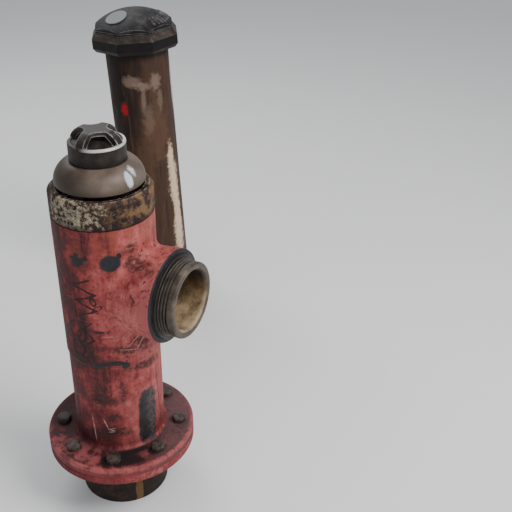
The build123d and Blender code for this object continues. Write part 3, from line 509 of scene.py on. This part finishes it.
def flange_tones(tree, coords, colour, blotch):
    """Soot, grime, rosy and ashen sides, and painted shade, shadow and highlight on the flange's foot, rim
    and lip.
    """
    height = height_of(tree, coords)
    radius = off_axis(tree, coords)
    on_flange = fade(tree, height, flange_top + 0.016, flange_top + 0.002)
    on_flange = times(tree, on_flange, fade(tree, radius, 0.094, 0.100))
    grime = fade(tree, cloud(tree, coords, 0.024, detail=5, seed=5.5), 0.40, 0.54)
    # Painted shade in the corner round the barrel's foot, and patchy grime across the flange top.
    foot_shade_and_grime = either(tree, fade(tree, radius, 0.112, 0.100), times(tree, grime, 0.65))
    foot_shade_and_grime = times(tree, foot_shade_and_grime, fade(tree, radius, flange_r - 0.004, flange_r - 0.011))
    colour = coat(tree, times(tree, on_flange, foot_shade_and_grime, 0.85), colour, DIRT)
    colour = coat(tree, times(tree, on_flange, 0.30), colour, RED_DARK)
    rosy = fade(tree, along(tree, coords, polar(175, 1, 0)), 0.07, 0.12)
    rosy = times(tree, rosy, fade(tree, blotch, 0.42, 0.54))
    colour = coat(tree, times(tree, on_flange, rosy, 0.7), colour, FLANGE_ROSY)
    ashen = fade(tree, along(tree, coords, polar(-60, 1, 0)), 0.055, 0.100)
    colour = coat(tree, times(tree, on_flange, ashen, 0.7), colour, FLANGE_ASHEN)
    for heading, out, wide, deep in FLANGE_SOOT_AND_SHADOW:
        place = polar(heading, out, flange_top)
        soot_and_shadow = spot(tree, coords, place, heading, wide, 0.02, 0, 0.22, 0.25, deep=deep)
        colour = coat(tree, times(tree, soot_and_shadow, on_flange, 0.95), colour, SOOT_AND_SHADOW)
    # The rim is painted darker below its lip: painted shade.
    low_rim_shade = fade(tree, radius, flange_r - 0.003, flange_r - 0.001)
    low_rim_shade = times(tree, low_rim_shade, fade(tree, height, flange_top - 0.006, flange_top - 0.014))
    colour = coat(tree, times(tree, low_rim_shade, 0.6), colour, RED_DEEP)
    # A painted highlight along the lip, on the side that faces the key light, broken up in patches.
    lip = fade(tree, radius, flange_r - 0.009, flange_r - 0.004)
    lip = times(tree, lip, fade(tree, height, flange_top - 0.012, flange_top - 0.005))
    facing = fade(tree, along(tree, coords, polar(-130, 1, 0)), -0.02, 0.09, 0.15, 1.0)
    lip_layer = times(tree, lip, facing, fade(tree, blotch, 0.34, 0.56, 0.3, 0.9))
    return coat(tree, lip_layer, colour, FLANGE_LIP_HIGHLIGHT)


def small_chips(tree, coords, blotch, fine):
    """1 where the paint is chipped, scratched or specked through."""
    height = height_of(tree, coords)
    chips = fade(tree, cloud(tree, coords, 0.0075, detail=6, seed=9.4, rough=0.75), 0.565, 0.61)
    thin = fade(tree, cloud(tree, coords, 0.05, detail=3, seed=8.8), 0.40, 0.58)
    specks = fade(tree, fine, 0.62, 0.68)
    scratches = cloud(tree, coords, 0.006, detail=5, stretch=(1, 4, 1), seed=5.9, rough=0.7)
    scratches = times(tree, fade(tree, scratches, 0.60, 0.66), fade(tree, height, 0.54, 0.50))
    scratches = times(tree, scratches, fade(tree, height, step_top - 0.03, step_top))
    specked = times(tree, specks, fade(tree, blotch, 0.6, 0.4, 0.25, 0.9))
    return either(tree, times(tree, chips, thin), scratches, specked)


def bare_iron(tree, coords, blotch, mottle):
    """The mask of the bare patches, the seam, the boss's face and the block, and their iron tone."""
    seam = polar(SEAM_HEADING, BARREL_R, SEAM_HEIGHT)
    patches = spot(tree, coords, seam, SEAM_HEADING, 0.0012, 0.092, 3.5, 0.05)
    for heading, at_height, wide, tall, lean, ragged in BARE_PATCHES:
        centre = polar(heading, barrel_radius(at_height), at_height)
        patches = either(tree, patches, spot(tree, coords, centre, heading, wide, tall, lean, ragged))
    face_band = fade(tree, along(tree, coords, (0, -1, 0)), -boss_face_y - 0.0045, -boss_face_y - 0.002)
    face_band = times(tree, face_band, fade(tree, height_of(tree, coords), step_top - 0.02, step_top))
    centre = polar(BLOCK_HEADING, BARREL_R, BLOCK_HEIGHT)
    bare_block = block(tree, coords, centre, BLOCK_HEADING, BLOCK_HALF_WIDE, BLOCK_HALF_TALL, BLOCK_LEAN)
    patches = either(tree, patches, face_band, bare_block)
    iron = coat(tree, fade(tree, blotch, 0.42, 0.58), IRON_DARK, IRON_BLUE)
    worn_side = fade(tree, along(tree, coords, polar(-65, 1, 0)), 0.058, 0.078)
    iron = coat(tree, times(tree, bare_block, worn_side, fade(tree, mottle, 0.4, 0.6)), iron, BLOCK_WORN)
    return patches, iron


def scrawl_mask(tree, coords):
    """1 on the scribbled zigzags and ovals."""
    scrawl = zigzag(tree, coords, -172, 0.466, 0.556, 0.020, 0.034, -0.05)
    scrawl = either(tree, scrawl, zigzag(tree, coords, -176, 0.410, 0.462, 0.012, 0.050, 0.2))
    for heading, at_height, wide, tall, lean in SCRAWL_RINGS:
        oval = ring(tree, coords, polar(heading, BARREL_R, at_height), heading, wide, tall, lean)
        scrawl = either(tree, scrawl, oval)
    return scrawl


def red_paint():
    finish, tree, shader, coords = new_finish("faded_red_paint", specular=0.35)
    colour, blotch, mottle = red_tones(tree, coords)
    fine = cloud(tree, coords, 0.0032, detail=4, seed=7.7, rough=0.7)
    colour = stains_and_shade(tree, coords, colour, blotch, mottle)
    colour = flange_tones(tree, coords, colour, blotch)
    bare = small_chips(tree, coords, blotch, fine)
    colour = coat(tree, times(tree, bare, 0.85), colour, CHIP_RED)
    for heading, at_height, wide, tall, lean in PALE_SCRAPES:
        centre = polar(heading, barrel_radius(at_height), at_height)
        scrape = spot(tree, coords, centre, heading, wide, tall, lean, 0.12, 0.4)
        scrape = times(tree, scrape, fade(tree, fine, 0.38, 0.56, 0.1, 0.7))
        colour = coat(tree, scrape, colour, SCRAPE_PALE)
    colour = coat(tree, times(tree, scrawl_mask(tree, coords), 0.92), colour, SCRAWL_DARK)
    patches, iron = bare_iron(tree, coords, blotch, mottle)
    colour = coat(tree, patches, colour, iron)

    chalk = fade(tree, blotch, 0.25, 0.7, 0.58, 0.78)
    roughness = maths(tree, "SUBTRACT", chalk, times(tree, patches, 0.14))
    relief = maths(tree, "ADD", times(tree, mottle, 0.8), times(tree, fine, 0.25))
    relief = maths(tree, "SUBTRACT", relief, bare)
    relief = maths(tree, "SUBTRACT", relief, times(tree, patches, 0.8))
    wire(tree, shader, colour, roughness, relief, bump=0.6, depth=0.0011)
    return finish


dress("upper_barrel", red_paint())
print("red paint with", len(BARE_PATCHES), "bare patches")


# %% [markdown]
# ## The stub and the gasket between the flanges
# The painter's brush went over the flange's rim and the gasket's edge, but not under the flange, where
# the stub is wet iron with soil on it, painted near black also as the shade under the flange. One finish
# does both, split by radius and height.

# %% Rim paint and dirty stub
def base_iron():
    finish, tree, shader, coords = new_finish("dirty_shaded_base_iron", specular=0.3)
    colour, blotch, mottle = red_tones(tree, coords)
    colour = coat(tree, fade(tree, mottle, 0.40, 0.60, 0.35, 0.85), colour, RED_DEEP)
    soil = cloud(tree, coords, 0.02, detail=6, seed=2.7, rough=0.7)
    # The stub's near-black tones are soil, and painted shade under the flange's overhang.
    iron = ramp(tree, soil, (0.32, srgb(16, 12, 11)), (0.50, srgb(40, 30, 25)), (0.68, srgb(74, 56, 42)))
    stream = spot(tree, coords, polar(-128, BARREL_R, 0.02), -128, 0.008, 0.05, 0, 0.3)
    iron = coat(tree, times(tree, stream, 0.7), iron, srgb(122, 92, 56))
    rim = fade(tree, off_axis(tree, coords), flange_r - 0.004, flange_r - 0.002)
    rim = times(tree, rim, fade(tree, height_of(tree, coords), stub_top - 0.002, stub_top + 0.001))
    colour = coat(tree, rim, iron, colour)
    relief = maths(tree, "ADD", soil, times(tree, mottle, 0.4))
    wire(tree, shader, colour, fade(tree, soil, 0.3, 0.7, 0.62, 0.9), relief, bump=0.8, depth=0.0025)
    return finish


base_finish = base_iron()
dress("lower_barrel", base_finish)
dress("flange_gasket", base_finish)


# %% [markdown]
# ## Rusted bonnet
# The bonnet has lost nearly all its paint. What stays is a skin of cream primer in flakes, thickest along
# the top shoulder and on the side away from the outlet, over brown rust. The flakes stand proud, so the
# same mask drives the relief.

# %% Bonnet
def rusted_bonnet():
    finish, tree, shader, coords = new_finish("rusted_bonnet_iron", specular=0.3)
    height = height_of(tree, coords)
    rust = cloud(tree, coords, 0.022, detail=6, seed=3.3, rough=0.68)
    grain = cloud(tree, coords, 0.004, detail=4, seed=5.1, rough=0.7)
    browns = (
        (0.36, srgb(20, 11, 10)),
        (0.48, srgb(46, 29, 24)),
        (0.60, srgb(66, 46, 36)),
        (0.76, srgb(96, 73, 55)),
    )
    colour = ramp(tree, rust, *browns)
    tan = fade(tree, along(tree, coords, polar(-95, 1, 0)), 0.05, 0.095)
    colour = coat(tree, times(tree, tan, fade(tree, rust, 0.42, 0.60), 0.7), colour, srgb(134, 104, 72))
    flake_noise = cloud(tree, coords, 0.010, detail=7, seed=7.2, rough=0.78)
    on_left = fade(tree, along(tree, coords, polar(178, 1, 0)), 0.05, 0.096)
    on_shoulder = fade(tree, height, barrel_top + 0.036, barrel_top + 0.042)
    amount = times(tree, on_left, 0.17)
    flakes = fade(tree, maths(tree, "ADD", flake_noise, amount), 0.60, 0.70)
    cream = coat(tree, fade(tree, grain, 0.4, 0.62), srgb(184, 172, 148), srgb(136, 120, 98))
    colour = coat(tree, times(tree, flakes, 0.85), colour, cream)
    shoulder_edge = worn_edges(tree, 0.005, 0.01, 0.06)
    scuffed = times(tree, shoulder_edge, fade(tree, flake_noise, 0.42, 0.58), on_shoulder)
    colour = coat(tree, times(tree, scuffed, 0.8), colour, srgb(186, 162, 148))
    damp = fade(tree, height, bonnet_low + 0.012, bonnet_low)
    colour = coat(tree, times(tree, damp, 0.75), colour, srgb(30, 18, 17))
    pits = fade(tree, grain, 0.60, 0.70)
    colour = coat(tree, times(tree, pits, 0.7), colour, srgb(24, 15, 13))
    relief = maths(tree, "ADD", times(tree, flakes, 0.5), rust)
    relief = maths(tree, "SUBTRACT", relief, times(tree, pits, 0.5))
    wire(tree, shader, colour, fade(tree, rust, 0.3, 0.7, 0.6, 0.88), relief, bump=0.9, depth=0.0016)
    return finish


dress("bonnet", rusted_bonnet())


# %% [markdown]
# ## Smooth security dome
# Rain and hands have polished the dome to a grey-brown skin. It is browner at the rim, where water
# stands, and has a dried bluish-white splash on the outlet's side. Painted shade darkens its key-lit side
# and a ring round the guard's foot.

# %% Dome
def polished_dome():
    finish, tree, shader, coords = new_finish("grey_dome_iron", metallic=0.15)
    height = height_of(tree, coords)
    broad = cloud(tree, coords, 0.05, detail=4, seed=2.4)
    scuffs = cloud(tree, coords, 0.006, detail=5, seed=8.1, rough=0.68)
    greys = ((0.34, srgb(86, 70, 57)), (0.50, srgb(112, 95, 81)), (0.66, srgb(130, 116, 103)))
    colour = ramp(tree, broad, *greys)
    colour = coat(tree, fade(tree, scuffs, 0.56, 0.70, 0.0, 0.6), colour, srgb(86, 68, 55))
    brown = fade(tree, height, dome_low.z + 0.016, dome_low.z + 0.001)
    colour = coat(tree, times(tree, brown, 0.8), colour, srgb(78, 60, 44))
    shaded = fade(tree, along(tree, coords, polar(150, 1, 0)), 0.01, 0.075)
    colour = coat(tree, times(tree, shaded, 0.75), colour, srgb(48, 37, 30))
    # Painted shade on the key-lit side, to tone down its highlight.
    lit_side_darkened = fade(tree, along(tree, coords, polar(-80, 1, 0)), 0.02, 0.07)
    colour = coat(tree, times(tree, lit_side_darkened, 0.5), colour, srgb(78, 70, 64))
    # Painted shade on the dome in a ring round the guard's foot.
    guard_foot_shade = fade(tree, off_axis(tree, coords), guard_high.x + 0.004, guard_high.x + 0.0005)
    colour = coat(tree, times(tree, guard_foot_shade, 0.7), colour, srgb(44, 32, 26))
    splash = spot(tree, coords, polar(-104, 0.068, 0.732), -104, 0.0085, 0.014, 0, 0.16, 0.2, deep=0.021)
    drop = spot(tree, coords, polar(-92, 0.062, 0.738), -92, 0.0085, 0.012, 0, 0.2, 0.3, deep=0.014)
    gap = spot(tree, coords, polar(-97, 0.068, 0.736), -97, 0.0016, 0.010, 0, 0.2, 0.2, deep=0.011)
    mask = times(tree, either(tree, splash, drop), maths(tree, "SUBTRACT", 1.0, gap))
    splash_tone = coat(tree, scuffs, srgb(186, 196, 206), srgb(236, 240, 246))
    colour = coat(tree, times(tree, mask, 0.9), colour, splash_tone)
    roughness = maths(tree, "ADD", fade(tree, broad, 0.3, 0.7, 0.42, 0.55), times(tree, mask, 0.25))
    relief = maths(tree, "ADD", scuffs, times(tree, mask, 1.5))
    wire(tree, shader, colour, roughness, relief, bump=0.25, depth=0.0005)
    return finish


dress("security_dome", polished_dome())


# %% [markdown]
# ## Worn guard
# The guard is dark steel whose edges are bright, because every wrench and kick scrapes them first. On the
# outlet's side, which faces the key light, the scrapes are stronger and a bright line runs along the rim:
# both are painted highlight. A Bevel node finds edges: it rounds the normal within a few millimetres, and
# where the rounded normal leaves the true one, there is an edge. That works on any shape, at its real size.

# %% Guard
def worn_guard():
    finish, tree, shader, coords = new_finish("worn_guard_steel", specular=0.3)
    height = height_of(tree, coords)
    broad = cloud(tree, coords, 0.018, detail=5, seed=1.9, rough=0.62)
    grain = cloud(tree, coords, 0.0022, detail=4, seed=4.7)
    colour = ramp(tree, broad, (0.34, srgb(24, 17, 14)), (0.50, srgb(38, 30, 26)), (0.68, srgb(56, 47, 42)))
    rim = guard_low.z + GUARD_RIM_UP
    top = fade(tree, height, rim + 0.006, rim + 0.018)
    colour = coat(tree, times(tree, top, fade(tree, broad, 0.34, 0.62, 0.2, 0.8)), colour, srgb(70, 65, 62))
    edges = worn_edges(tree, 0.0042, 0.02, 0.10)
    above_rim = fade(tree, height, rim - 0.0045, rim - 0.0015)
    outlet_side = fade(tree, along(tree, coords, polar(-95, 1, 0)), 0.0, 0.03)
    patchy = fade(tree, broad, 0.34, 0.58, 0.15, 1.0)
    # Edge scrapes, made stronger on the key-lit outlet side as a painted highlight.
    scrapes_and_highlight = times(tree, edges, above_rim, patchy, fade(tree, outlet_side, 0, 1, 0.3, 0.9))
    # A bright line along the rim on the outlet's side: a painted highlight.
    rim_highlight = fade(tree, height, rim - 0.0046, rim - 0.0034)
    rim_highlight = times(tree, rim_highlight, fade(tree, height, rim + 0.0022, rim + 0.0010))
    outermost = fade(tree, off_axis(tree, coords), guard_high.x - 0.0062, guard_high.x - 0.0050)
    rim_highlight = times(tree, rim_highlight, outlet_side, outermost)
    scrapes_and_highlight = either(tree, scrapes_and_highlight, times(tree, rim_highlight, 0.95))
    colour = coat(tree, scrapes_and_highlight, colour, coat(tree, grain, srgb(196, 188, 183), srgb(246, 240, 236)))
    low_dirt = fade(tree, height, guard_low.z + 0.010, guard_low.z)
    colour = coat(tree, times(tree, low_dirt, 0.6), colour, srgb(34, 24, 19))
    metallic = times(tree, scrapes_and_highlight, 0.5)
    roughness = maths(tree, "SUBTRACT", fade(tree, broad, 0.3, 0.7, 0.45, 0.62), times(tree, scrapes_and_highlight, 0.1))
    relief = maths(tree, "ADD", broad, grain)
    wire(tree, shader, colour, roughness, relief, bump=0.4, depth=0.0007, metallic=metallic)
    return finish


dress("spinning_guard", worn_guard())


# %% [markdown]
# ## Outlet's brass
# Brass darkens to brown outdoors. The collar and the thread are nearly black, the rounded lip is rubbed
# to taupe, and worn ridges are pale, brightened further as a painted highlight. Inside, the top is painted
# near black as shade and the lower half pale as painted light. The masks follow distance along the
# outlet's axis and from it.

# %% Outlet's brass
WATERWAY_R = 0.05715
LIP_LENGTH = 0.011
COLLAR_INNER_R = 0.0742


def outlet_brass():
    finish, tree, shader, coords = new_finish("aged_outlet_brass")
    forward = along(tree, coords, (0, -1, 0))
    radius = off_axis(tree, coords, (1, 0, 1), (0, 0, outlet_z))
    up = along(tree, coords, (0, 0, 1), (0, 0, outlet_z))
    broad = cloud(tree, coords, 0.024, detail=5, seed=6.2, rough=0.62)
    grain = cloud(tree, coords, 0.003, detail=5, seed=3.8, rough=0.7)
    dark = coat(tree, broad, srgb(40, 34, 31), srgb(92, 82, 74))
    lip_layer = ramp(tree, broad, (0.34, srgb(56, 47, 41)), (0.50, srgb(80, 69, 60)), (0.68, srgb(112, 100, 86)))
    lip_start = -nozzle_low.y - LIP_LENGTH
    on_lip = fade(tree, forward, lip_start, lip_start + 0.002)
    colour = coat(tree, on_lip, dark, lip_layer)
    collar = fade(tree, radius, COLLAR_INNER_R, COLLAR_INNER_R + 0.002)
    colour = coat(tree, times(tree, collar, 0.75), colour, srgb(22, 18, 20))
    # Worn ridges of thread and lip, pale, brightened further as a painted highlight.
    crest_wear_and_highlight = times(tree, worn_edges(tree, 0.0016, 0.03, 0.2), fade(tree, broad, 0.35, 0.60, 0.15, 0.75))
    colour = coat(tree, crest_wear_and_highlight, colour, srgb(168, 156, 142))
    scale = ramp(tree, broad, (0.30, srgb(58, 42, 26)), (0.50, srgb(100, 78, 50)), (0.68, srgb(140, 116, 82)))
    # Painted light on the lower inside of the bore.
    lit_low_inside = fade(tree, up, 0.0, -0.05)
    lit_low_inside = times(tree, lit_low_inside, fade(tree, broad, 0.35, 0.6, 0.4, 1.0))
    inside_tone = coat(tree, lit_low_inside, scale, srgb(176, 152, 120))
    # Painted shade, near black, on the top of the bore's inside.
    inside_tone = coat(tree, times(tree, fade(tree, up, -0.010, 0.030), 0.93), inside_tone, srgb(10, 7, 4))
    clots = times(tree, fade(tree, grain, 0.56, 0.64), 0.6)
    inside_tone = coat(tree, clots, inside_tone, srgb(44, 30, 18))
    inside = fade(tree, radius, WATERWAY_R + 0.0055, WATERWAY_R + 0.0025)
    colour = coat(tree, inside, colour, inside_tone)
    metallic = times(tree, maths(tree, "SUBTRACT", 1.0, inside), 0.35)
    roughness = fade(tree, broad, 0.3, 0.7, 0.38, 0.6)
    relief = maths(tree, "ADD", broad, grain)
    wire(tree, shader, colour, roughness, relief, bump=0.5, depth=0.0009, metallic=metallic)
    return finish


brass_finish = outlet_brass()
dress("outlet_nozzle", brass_finish)


# %% [markdown]
# ## Guard post
# The post is a steel pipe whose dark paint has worn to brown, with pale stains near the top, one touch
# of red, and a long cream run down its outlet side. It leans, so its marks are placed about its own axis,
# which runs between the centres of its foot and its head.

# %% The post's axis
POST_R = 0.08415
# Levels of the cap, up the post's axis.
CAP_FOOT = 0.728
CAP_SIDE_TOP = 0.762
CAP_SHOULDER_TOP = 0.778
CAP_BRIM_TOP = 0.788
CAP_SHADE = 0.028  # how far down the pipe the painted shadow under the cap reaches
pipe_low, pipe_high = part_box("post_pipe")
post_foot = Vector((pipe_high.x - POST_R, pipe_low.y + POST_R, 0))
post_head = Vector((pipe_low.x + POST_R, pipe_high.y - POST_R, pipe_high.z))
post_up = (post_head - post_foot).normalized()
print("post leans", round(degrees(post_up.angle(Vector((0, 0, 1)))), 2), "degrees")


def on_post(heading, level):
    """A point on the post's side at a heading, level metres up its axis."""
    return post_foot + post_up * level + polar(heading, POST_R, 0)


# Each mark: heading, level, half width, half height, strength, tone. All are stains but the thin pale line.
STAIN_PALE = srgb(146, 124, 110)
STAIN_CREAM = srgb(226, 200, 170)
POST_MARKS = (
    (-163, 0.652, 0.024, 0.016, 0.50, STAIN_PALE),
    (-144, 0.640, 0.022, 0.010, 0.50, STAIN_PALE),
    (-144, 0.605, 0.006, 0.034, 0.45, STAIN_PALE),
    (-118, 0.650, 0.014, 0.022, 0.55, STAIN_PALE),
    (-112, 0.600, 0.008, 0.030, 0.35, STAIN_PALE),
    (-138, 0.545, 0.014, 0.040, 0.30, STAIN_PALE),
    (-122, 0.500, 0.030, 0.070, 0.40, srgb(108, 80, 60)),
    (-150, 0.430, 0.022, 0.090, 0.40, srgb(100, 72, 54)),
    (-100, 0.420, 0.012, 0.045, 0.90, STAIN_CREAM),
    (-97, 0.350, 0.016, 0.060, 0.92, STAIN_CREAM),
    (-94, 0.260, 0.014, 0.070, 0.92, STAIN_CREAM),
    (-95, 0.180, 0.018, 0.070, 0.92, STAIN_CREAM),
    # A thin pale line along the post's edge: a painted highlight.
    (-69, 0.620, 0.0035, 0.064, 0.90, srgb(216, 208, 198)),
    (176, 0.604, 0.009, 0.010, 0.85, srgb(20, 14, 13)),
    (177, 0.574, 0.0095, 0.017, 0.95, srgb(160, 12, 30)),
)


# %% Post's paint
def post_paint():
    finish, tree, shader, coords = new_finish("worn_post_paint", specular=0.2)
    level = along(tree, coords, post_up, post_foot)
    blotch = cloud(tree, coords, 0.035, detail=5, stretch=(1, 1, 2.2), seed=1.1, rough=0.6)
    grain = cloud(tree, coords, 0.005, detail=5, seed=2.9, rough=0.7)
    streaks = cloud(tree, coords, 0.012, detail=4, stretch=(1, 1, 9), seed=6.4)
    browns = (
        (0.34, srgb(14, 8, 7)),
        (0.48, srgb(30, 18, 14)),
        (0.60, srgb(46, 31, 23)),
        (0.74, srgb(68, 48, 36)),
    )
    colour = ramp(tree, blotch, *browns)
    lit = fade(tree, along(tree, coords, polar(-100, 1, 0), post_foot), -0.02, 0.07)
    colour = coat(tree, times(tree, lit, 0.38), colour, srgb(104, 78, 62))
    colour = coat(tree, fade(tree, streaks, 0.54, 0.70, 0.0, 0.7), colour, srgb(36, 23, 20))
    colour = coat(tree, fade(tree, streaks, 0.44, 0.34, 0.0, 0.35), colour, srgb(96, 72, 56))
    for heading, at_level, wide, tall, strength, tone in POST_MARKS:
        stain = spot(tree, coords, on_post(heading, at_level), heading, wide, tall, 0, 0.45, 0.45)
        colour = coat(tree, times(tree, stain, strength), colour, tone)
    # Painted shadow under the cap, darkening the pipe just below it.
    under_cap = fade(tree, level, CAP_FOOT - CAP_SHADE, CAP_FOOT)
    colour = coat(tree, times(tree, under_cap, 0.85), colour, srgb(18, 13, 12))
    pits = fade(tree, grain, 0.60, 0.72)
    colour = coat(tree, times(tree, pits, 0.6), colour, srgb(28, 18, 15))
    relief = maths(tree, "SUBTRACT", blotch, times(tree, pits, 0.6))
    wire(tree, shader, colour, fade(tree, blotch, 0.3, 0.7, 0.5, 0.75), relief, bump=0.5, depth=0.0012)
    return finish


dress("post_pipe", post_paint())


# %% Post's cap and tag
def cap_iron():
    finish, tree, shader, coords = new_finish("black_cap_iron", specular=0.25)
    level = along(tree, coords, post_up, post_foot)
    broad = cloud(tree, coords, 0.03, detail=5, seed=5.6, rough=0.62)
    grain = cloud(tree, coords, 0.0045, detail=5, seed=9.1, rough=0.7)
    dark = ramp(tree, broad, (0.36, srgb(8, 6, 5)), (0.52, srgb(15, 11, 9)), (0.68, srgb(28, 21, 16)))
    crown = ramp(tree, broad, (0.34, srgb(14, 13, 15)), (0.50, srgb(32, 31, 34)), (0.66, srgb(70, 70, 68)))
    shoulder = ramp(tree, broad, (0.34, srgb(34, 27, 24)), (0.50, srgb(60, 51, 45)), (0.66, srgb(92, 82, 74)))
    on_shoulder = fade(tree, level, CAP_SIDE_TOP - 0.001, CAP_SIDE_TOP + 0.001)
    on_shoulder = times(tree, on_shoulder, fade(tree, level, CAP_SHOULDER_TOP, CAP_SHOULDER_TOP - 0.004))
    colour = coat(tree, on_shoulder, dark, shoulder)
    colour = coat(tree, fade(tree, level, CAP_BRIM_TOP - 0.003, CAP_BRIM_TOP), colour, crown)
    edges = times(tree, worn_edges(tree, 0.0035, 0.02, 0.14), fade(tree, broad, 0.32, 0.56, 0.2, 0.85))
    edges = times(tree, edges, fade(tree, level, CAP_SIDE_TOP - 0.004, CAP_SIDE_TOP))
    colour = coat(tree, edges, colour, srgb(158, 150, 150))
    colour = coat(tree, fade(tree, grain, 0.58, 0.70, 0.0, 0.6), colour, srgb(20, 16, 15))
    relief = maths(tree, "ADD", times(tree, broad, 0.8), grain)
    wire(tree, shader, colour, fade(tree, broad, 0.3, 0.7, 0.42, 0.68), relief, bump=0.6, depth=0.0014)
    return finish


def tag_metal():
    finish, tree, shader, coords = new_finish("dull_tag_metal", metallic=0.3)
    broad = cloud(tree, coords, 0.012, detail=5, seed=3.4, rough=0.65)
    grain = cloud(tree, coords, 0.002, detail=4, seed=1.2, rough=0.7)
    greys = ((0.34, srgb(84, 86, 88)), (0.52, srgb(108, 110, 112)), (0.68, srgb(128, 130, 132)))
    colour = ramp(tree, broad, *greys)
    colour = coat(tree, fade(tree, grain, 0.58, 0.72, 0.0, 0.5), colour, srgb(92, 92, 92))
    wire(tree, shader, colour, fade(tree, broad, 0.3, 0.7, 0.45, 0.65), grain, bump=0.3, depth=0.0004)
    return finish


dress("post_cap", cap_iron())
dress("post_tag", tag_metal())


# %% [markdown]
# ## Inside pieces
# The stem, the coupling, the screws and the bearings show only through the outlet, under the dome and at
# the joints. They share one recipe: a base tone, a second tone in broad clouds, stains that run down,
# and fine pitting that also drives the relief.

# %% Plain weathered metals and rubber
def weathered(name, base, tone, stain, metallic, rough, lump, pit, relief, seed):
    finish, tree, shader, coords = new_finish(name, metallic)
    broad = cloud(tree, coords, lump, seed=seed)
    runs = cloud(tree, coords, lump * 0.4, stretch=(1, 1, 5), seed=seed + 3)
    pits = cloud(tree, coords, pit, seed=seed + 5, rough=0.65)
    colour = coat(tree, fade(tree, broad, 0.38, 0.64), base, tone)
    colour = coat(tree, fade(tree, runs, 0.52, 0.70), colour, stain)
    colour = coat(tree, fade(tree, pits, 0.60, 0.72, 0.0, 0.7), colour, srgb(20, 15, 13))
    wire(tree, shader, colour, fade(tree, broad, 0.2, 0.8, *rough), pits, bump=relief, depth=0.0006)
    return finish


# Each recipe: base, second and stain tones, metallic, roughness limits, lump, pit, relief, seed.
bolt_tones = (srgb(50, 39, 36), srgb(82, 74, 68), srgb(66, 42, 36))
bolt_rust = weathered("bolt_rust", *bolt_tones, 0.15, (0.5, 0.75), 0.010, 0.0022, 0.8, 1)
steel_tones = (srgb(66, 58, 54), srgb(48, 40, 36), srgb(58, 38, 28))
inner_steel = weathered("inner_steel", *steel_tones, 0.6, (0.4, 0.65), 0.02, 0.0015, 0.4, 3)
brass_tones = (srgb(140, 112, 66), srgb(112, 88, 56), srgb(70, 56, 40))
inner_brass = weathered("inner_brass", *brass_tones, 0.7, (0.35, 0.6), 0.02, 0.002, 0.3, 4)
rubber_tones = (srgb(30, 28, 28), srgb(42, 40, 38), srgb(22, 20, 20))
old_rubber = weathered("old_rubber", *rubber_tones, 0.0, (0.7, 0.9), 0.02, 0.001, 0.3, 5)
STEEL_NODES = (
    "bonnet_screws", "nozzle_lock_screw", "snap_ring", "clutch_plate",
    "stem", "lower_stem", "breakaway_coupling", "coupling_pins",
)
BRASS_NODES = ("operating_nut", "lower_thrust_washer", "upper_thrust_washer", "hold_down_nut")
RUBBER_NODES = ("nozzle_seal", "bonnet_gasket", "stem_seals", "hold_down_seal")
BOLT_NODES = ("flange_bolts", "flange_nuts")
INNER_FINISHES = (
    (inner_steel, STEEL_NODES),
    (inner_brass, BRASS_NODES),
    (old_rubber, RUBBER_NODES),
    (bolt_rust, BOLT_NODES),
)
for finish, names in INNER_FINISHES:
    for node_name in names:
        dress(node_name, finish)
print("plain finishes on", sum(len(names) for finish, names in INNER_FINISHES), "nodes")

# %% [markdown]
# ## Flange bolts
# A hex head that has been under a wrench for decades has no sharp corner left, and its top is a shallow
# crown. Each head is a six-sided prism whose top edges are bevelled round, over a plain shank. The
# heads are turned by different amounts, because nobody lines them up.

# %% Bolts with rounded heads
BOLT_COUNT = 8
BOLT_START = 25.5
BOLT_CIRCLE_R = 0.122
BOLT_R = 0.008
BOLT_TURN = 23  # how much further each head is turned than the last
HEAD_CORNER_R = 0.0156
HEAD_ROUND = 0.0035
bolt_low, bolt_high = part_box("flange_bolts")


def add_bolt(form, heading, turn):
    """One bolt: its head on the flange and its shank through both flanges and the nut."""
    foot = polar(heading, BOLT_CIRCLE_R, 0)
    head_middle = bolt_high.z - BOLT_HEAD / 2
    head_at = Matrix.Translation(foot + Vector((0, 0, head_middle))) @ Matrix.Rotation(radians(turn), 4, "Z")
    head = bmesh.ops.create_cone(
        form, cap_ends=True, segments=6, radius1=HEAD_CORNER_R, radius2=HEAD_CORNER_R,
        depth=BOLT_HEAD, matrix=head_at,
    )
    top = [vert for vert in head["verts"] if vert.co.z > head_middle]
    rim = {edge for vert in top for edge in vert.link_edges}
    bmesh.ops.bevel(
        form, geom=list(rim), offset=HEAD_ROUND, segments=4, profile=0.5, affect="EDGES", material=-1,
    )
    shank_length = bolt_high.z - BOLT_HEAD - bolt_low.z
    shank_at = Matrix.Translation(foot + Vector((0, 0, bolt_low.z + shank_length / 2)))
    bmesh.ops.create_cone(
        form, cap_ends=True, segments=24, radius1=BOLT_R, radius2=BOLT_R, depth=shank_length, matrix=shank_at
    )


bolt_form = bmesh.new()
for number in range(BOLT_COUNT):
    add_bolt(bolt_form, BOLT_START + number * 360 / BOLT_COUNT, number * BOLT_TURN)
bmesh.ops.recalc_face_normals(bolt_form, faces=bolt_form.faces)
bolt_mesh = bpy.data.meshes.new("worn_flange_bolts")
bolt_form.to_mesh(bolt_mesh)
bolt_form.free()
worn_bolts = bpy.data.objects.new("worn_flange_bolts", bolt_mesh)
bpy.context.scene.collection.objects.link(worn_bolts)
bolt_mesh.materials.append(bolt_rust)
bolt_mesh.shade_smooth()
bolt_mesh.set_sharp_from_angle(angle=radians(40))
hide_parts("flange_bolts")
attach(worn_bolts, "hydrant_and_post")
print("bolts", BOLT_COUNT, "faces", len(bolt_mesh.polygons))
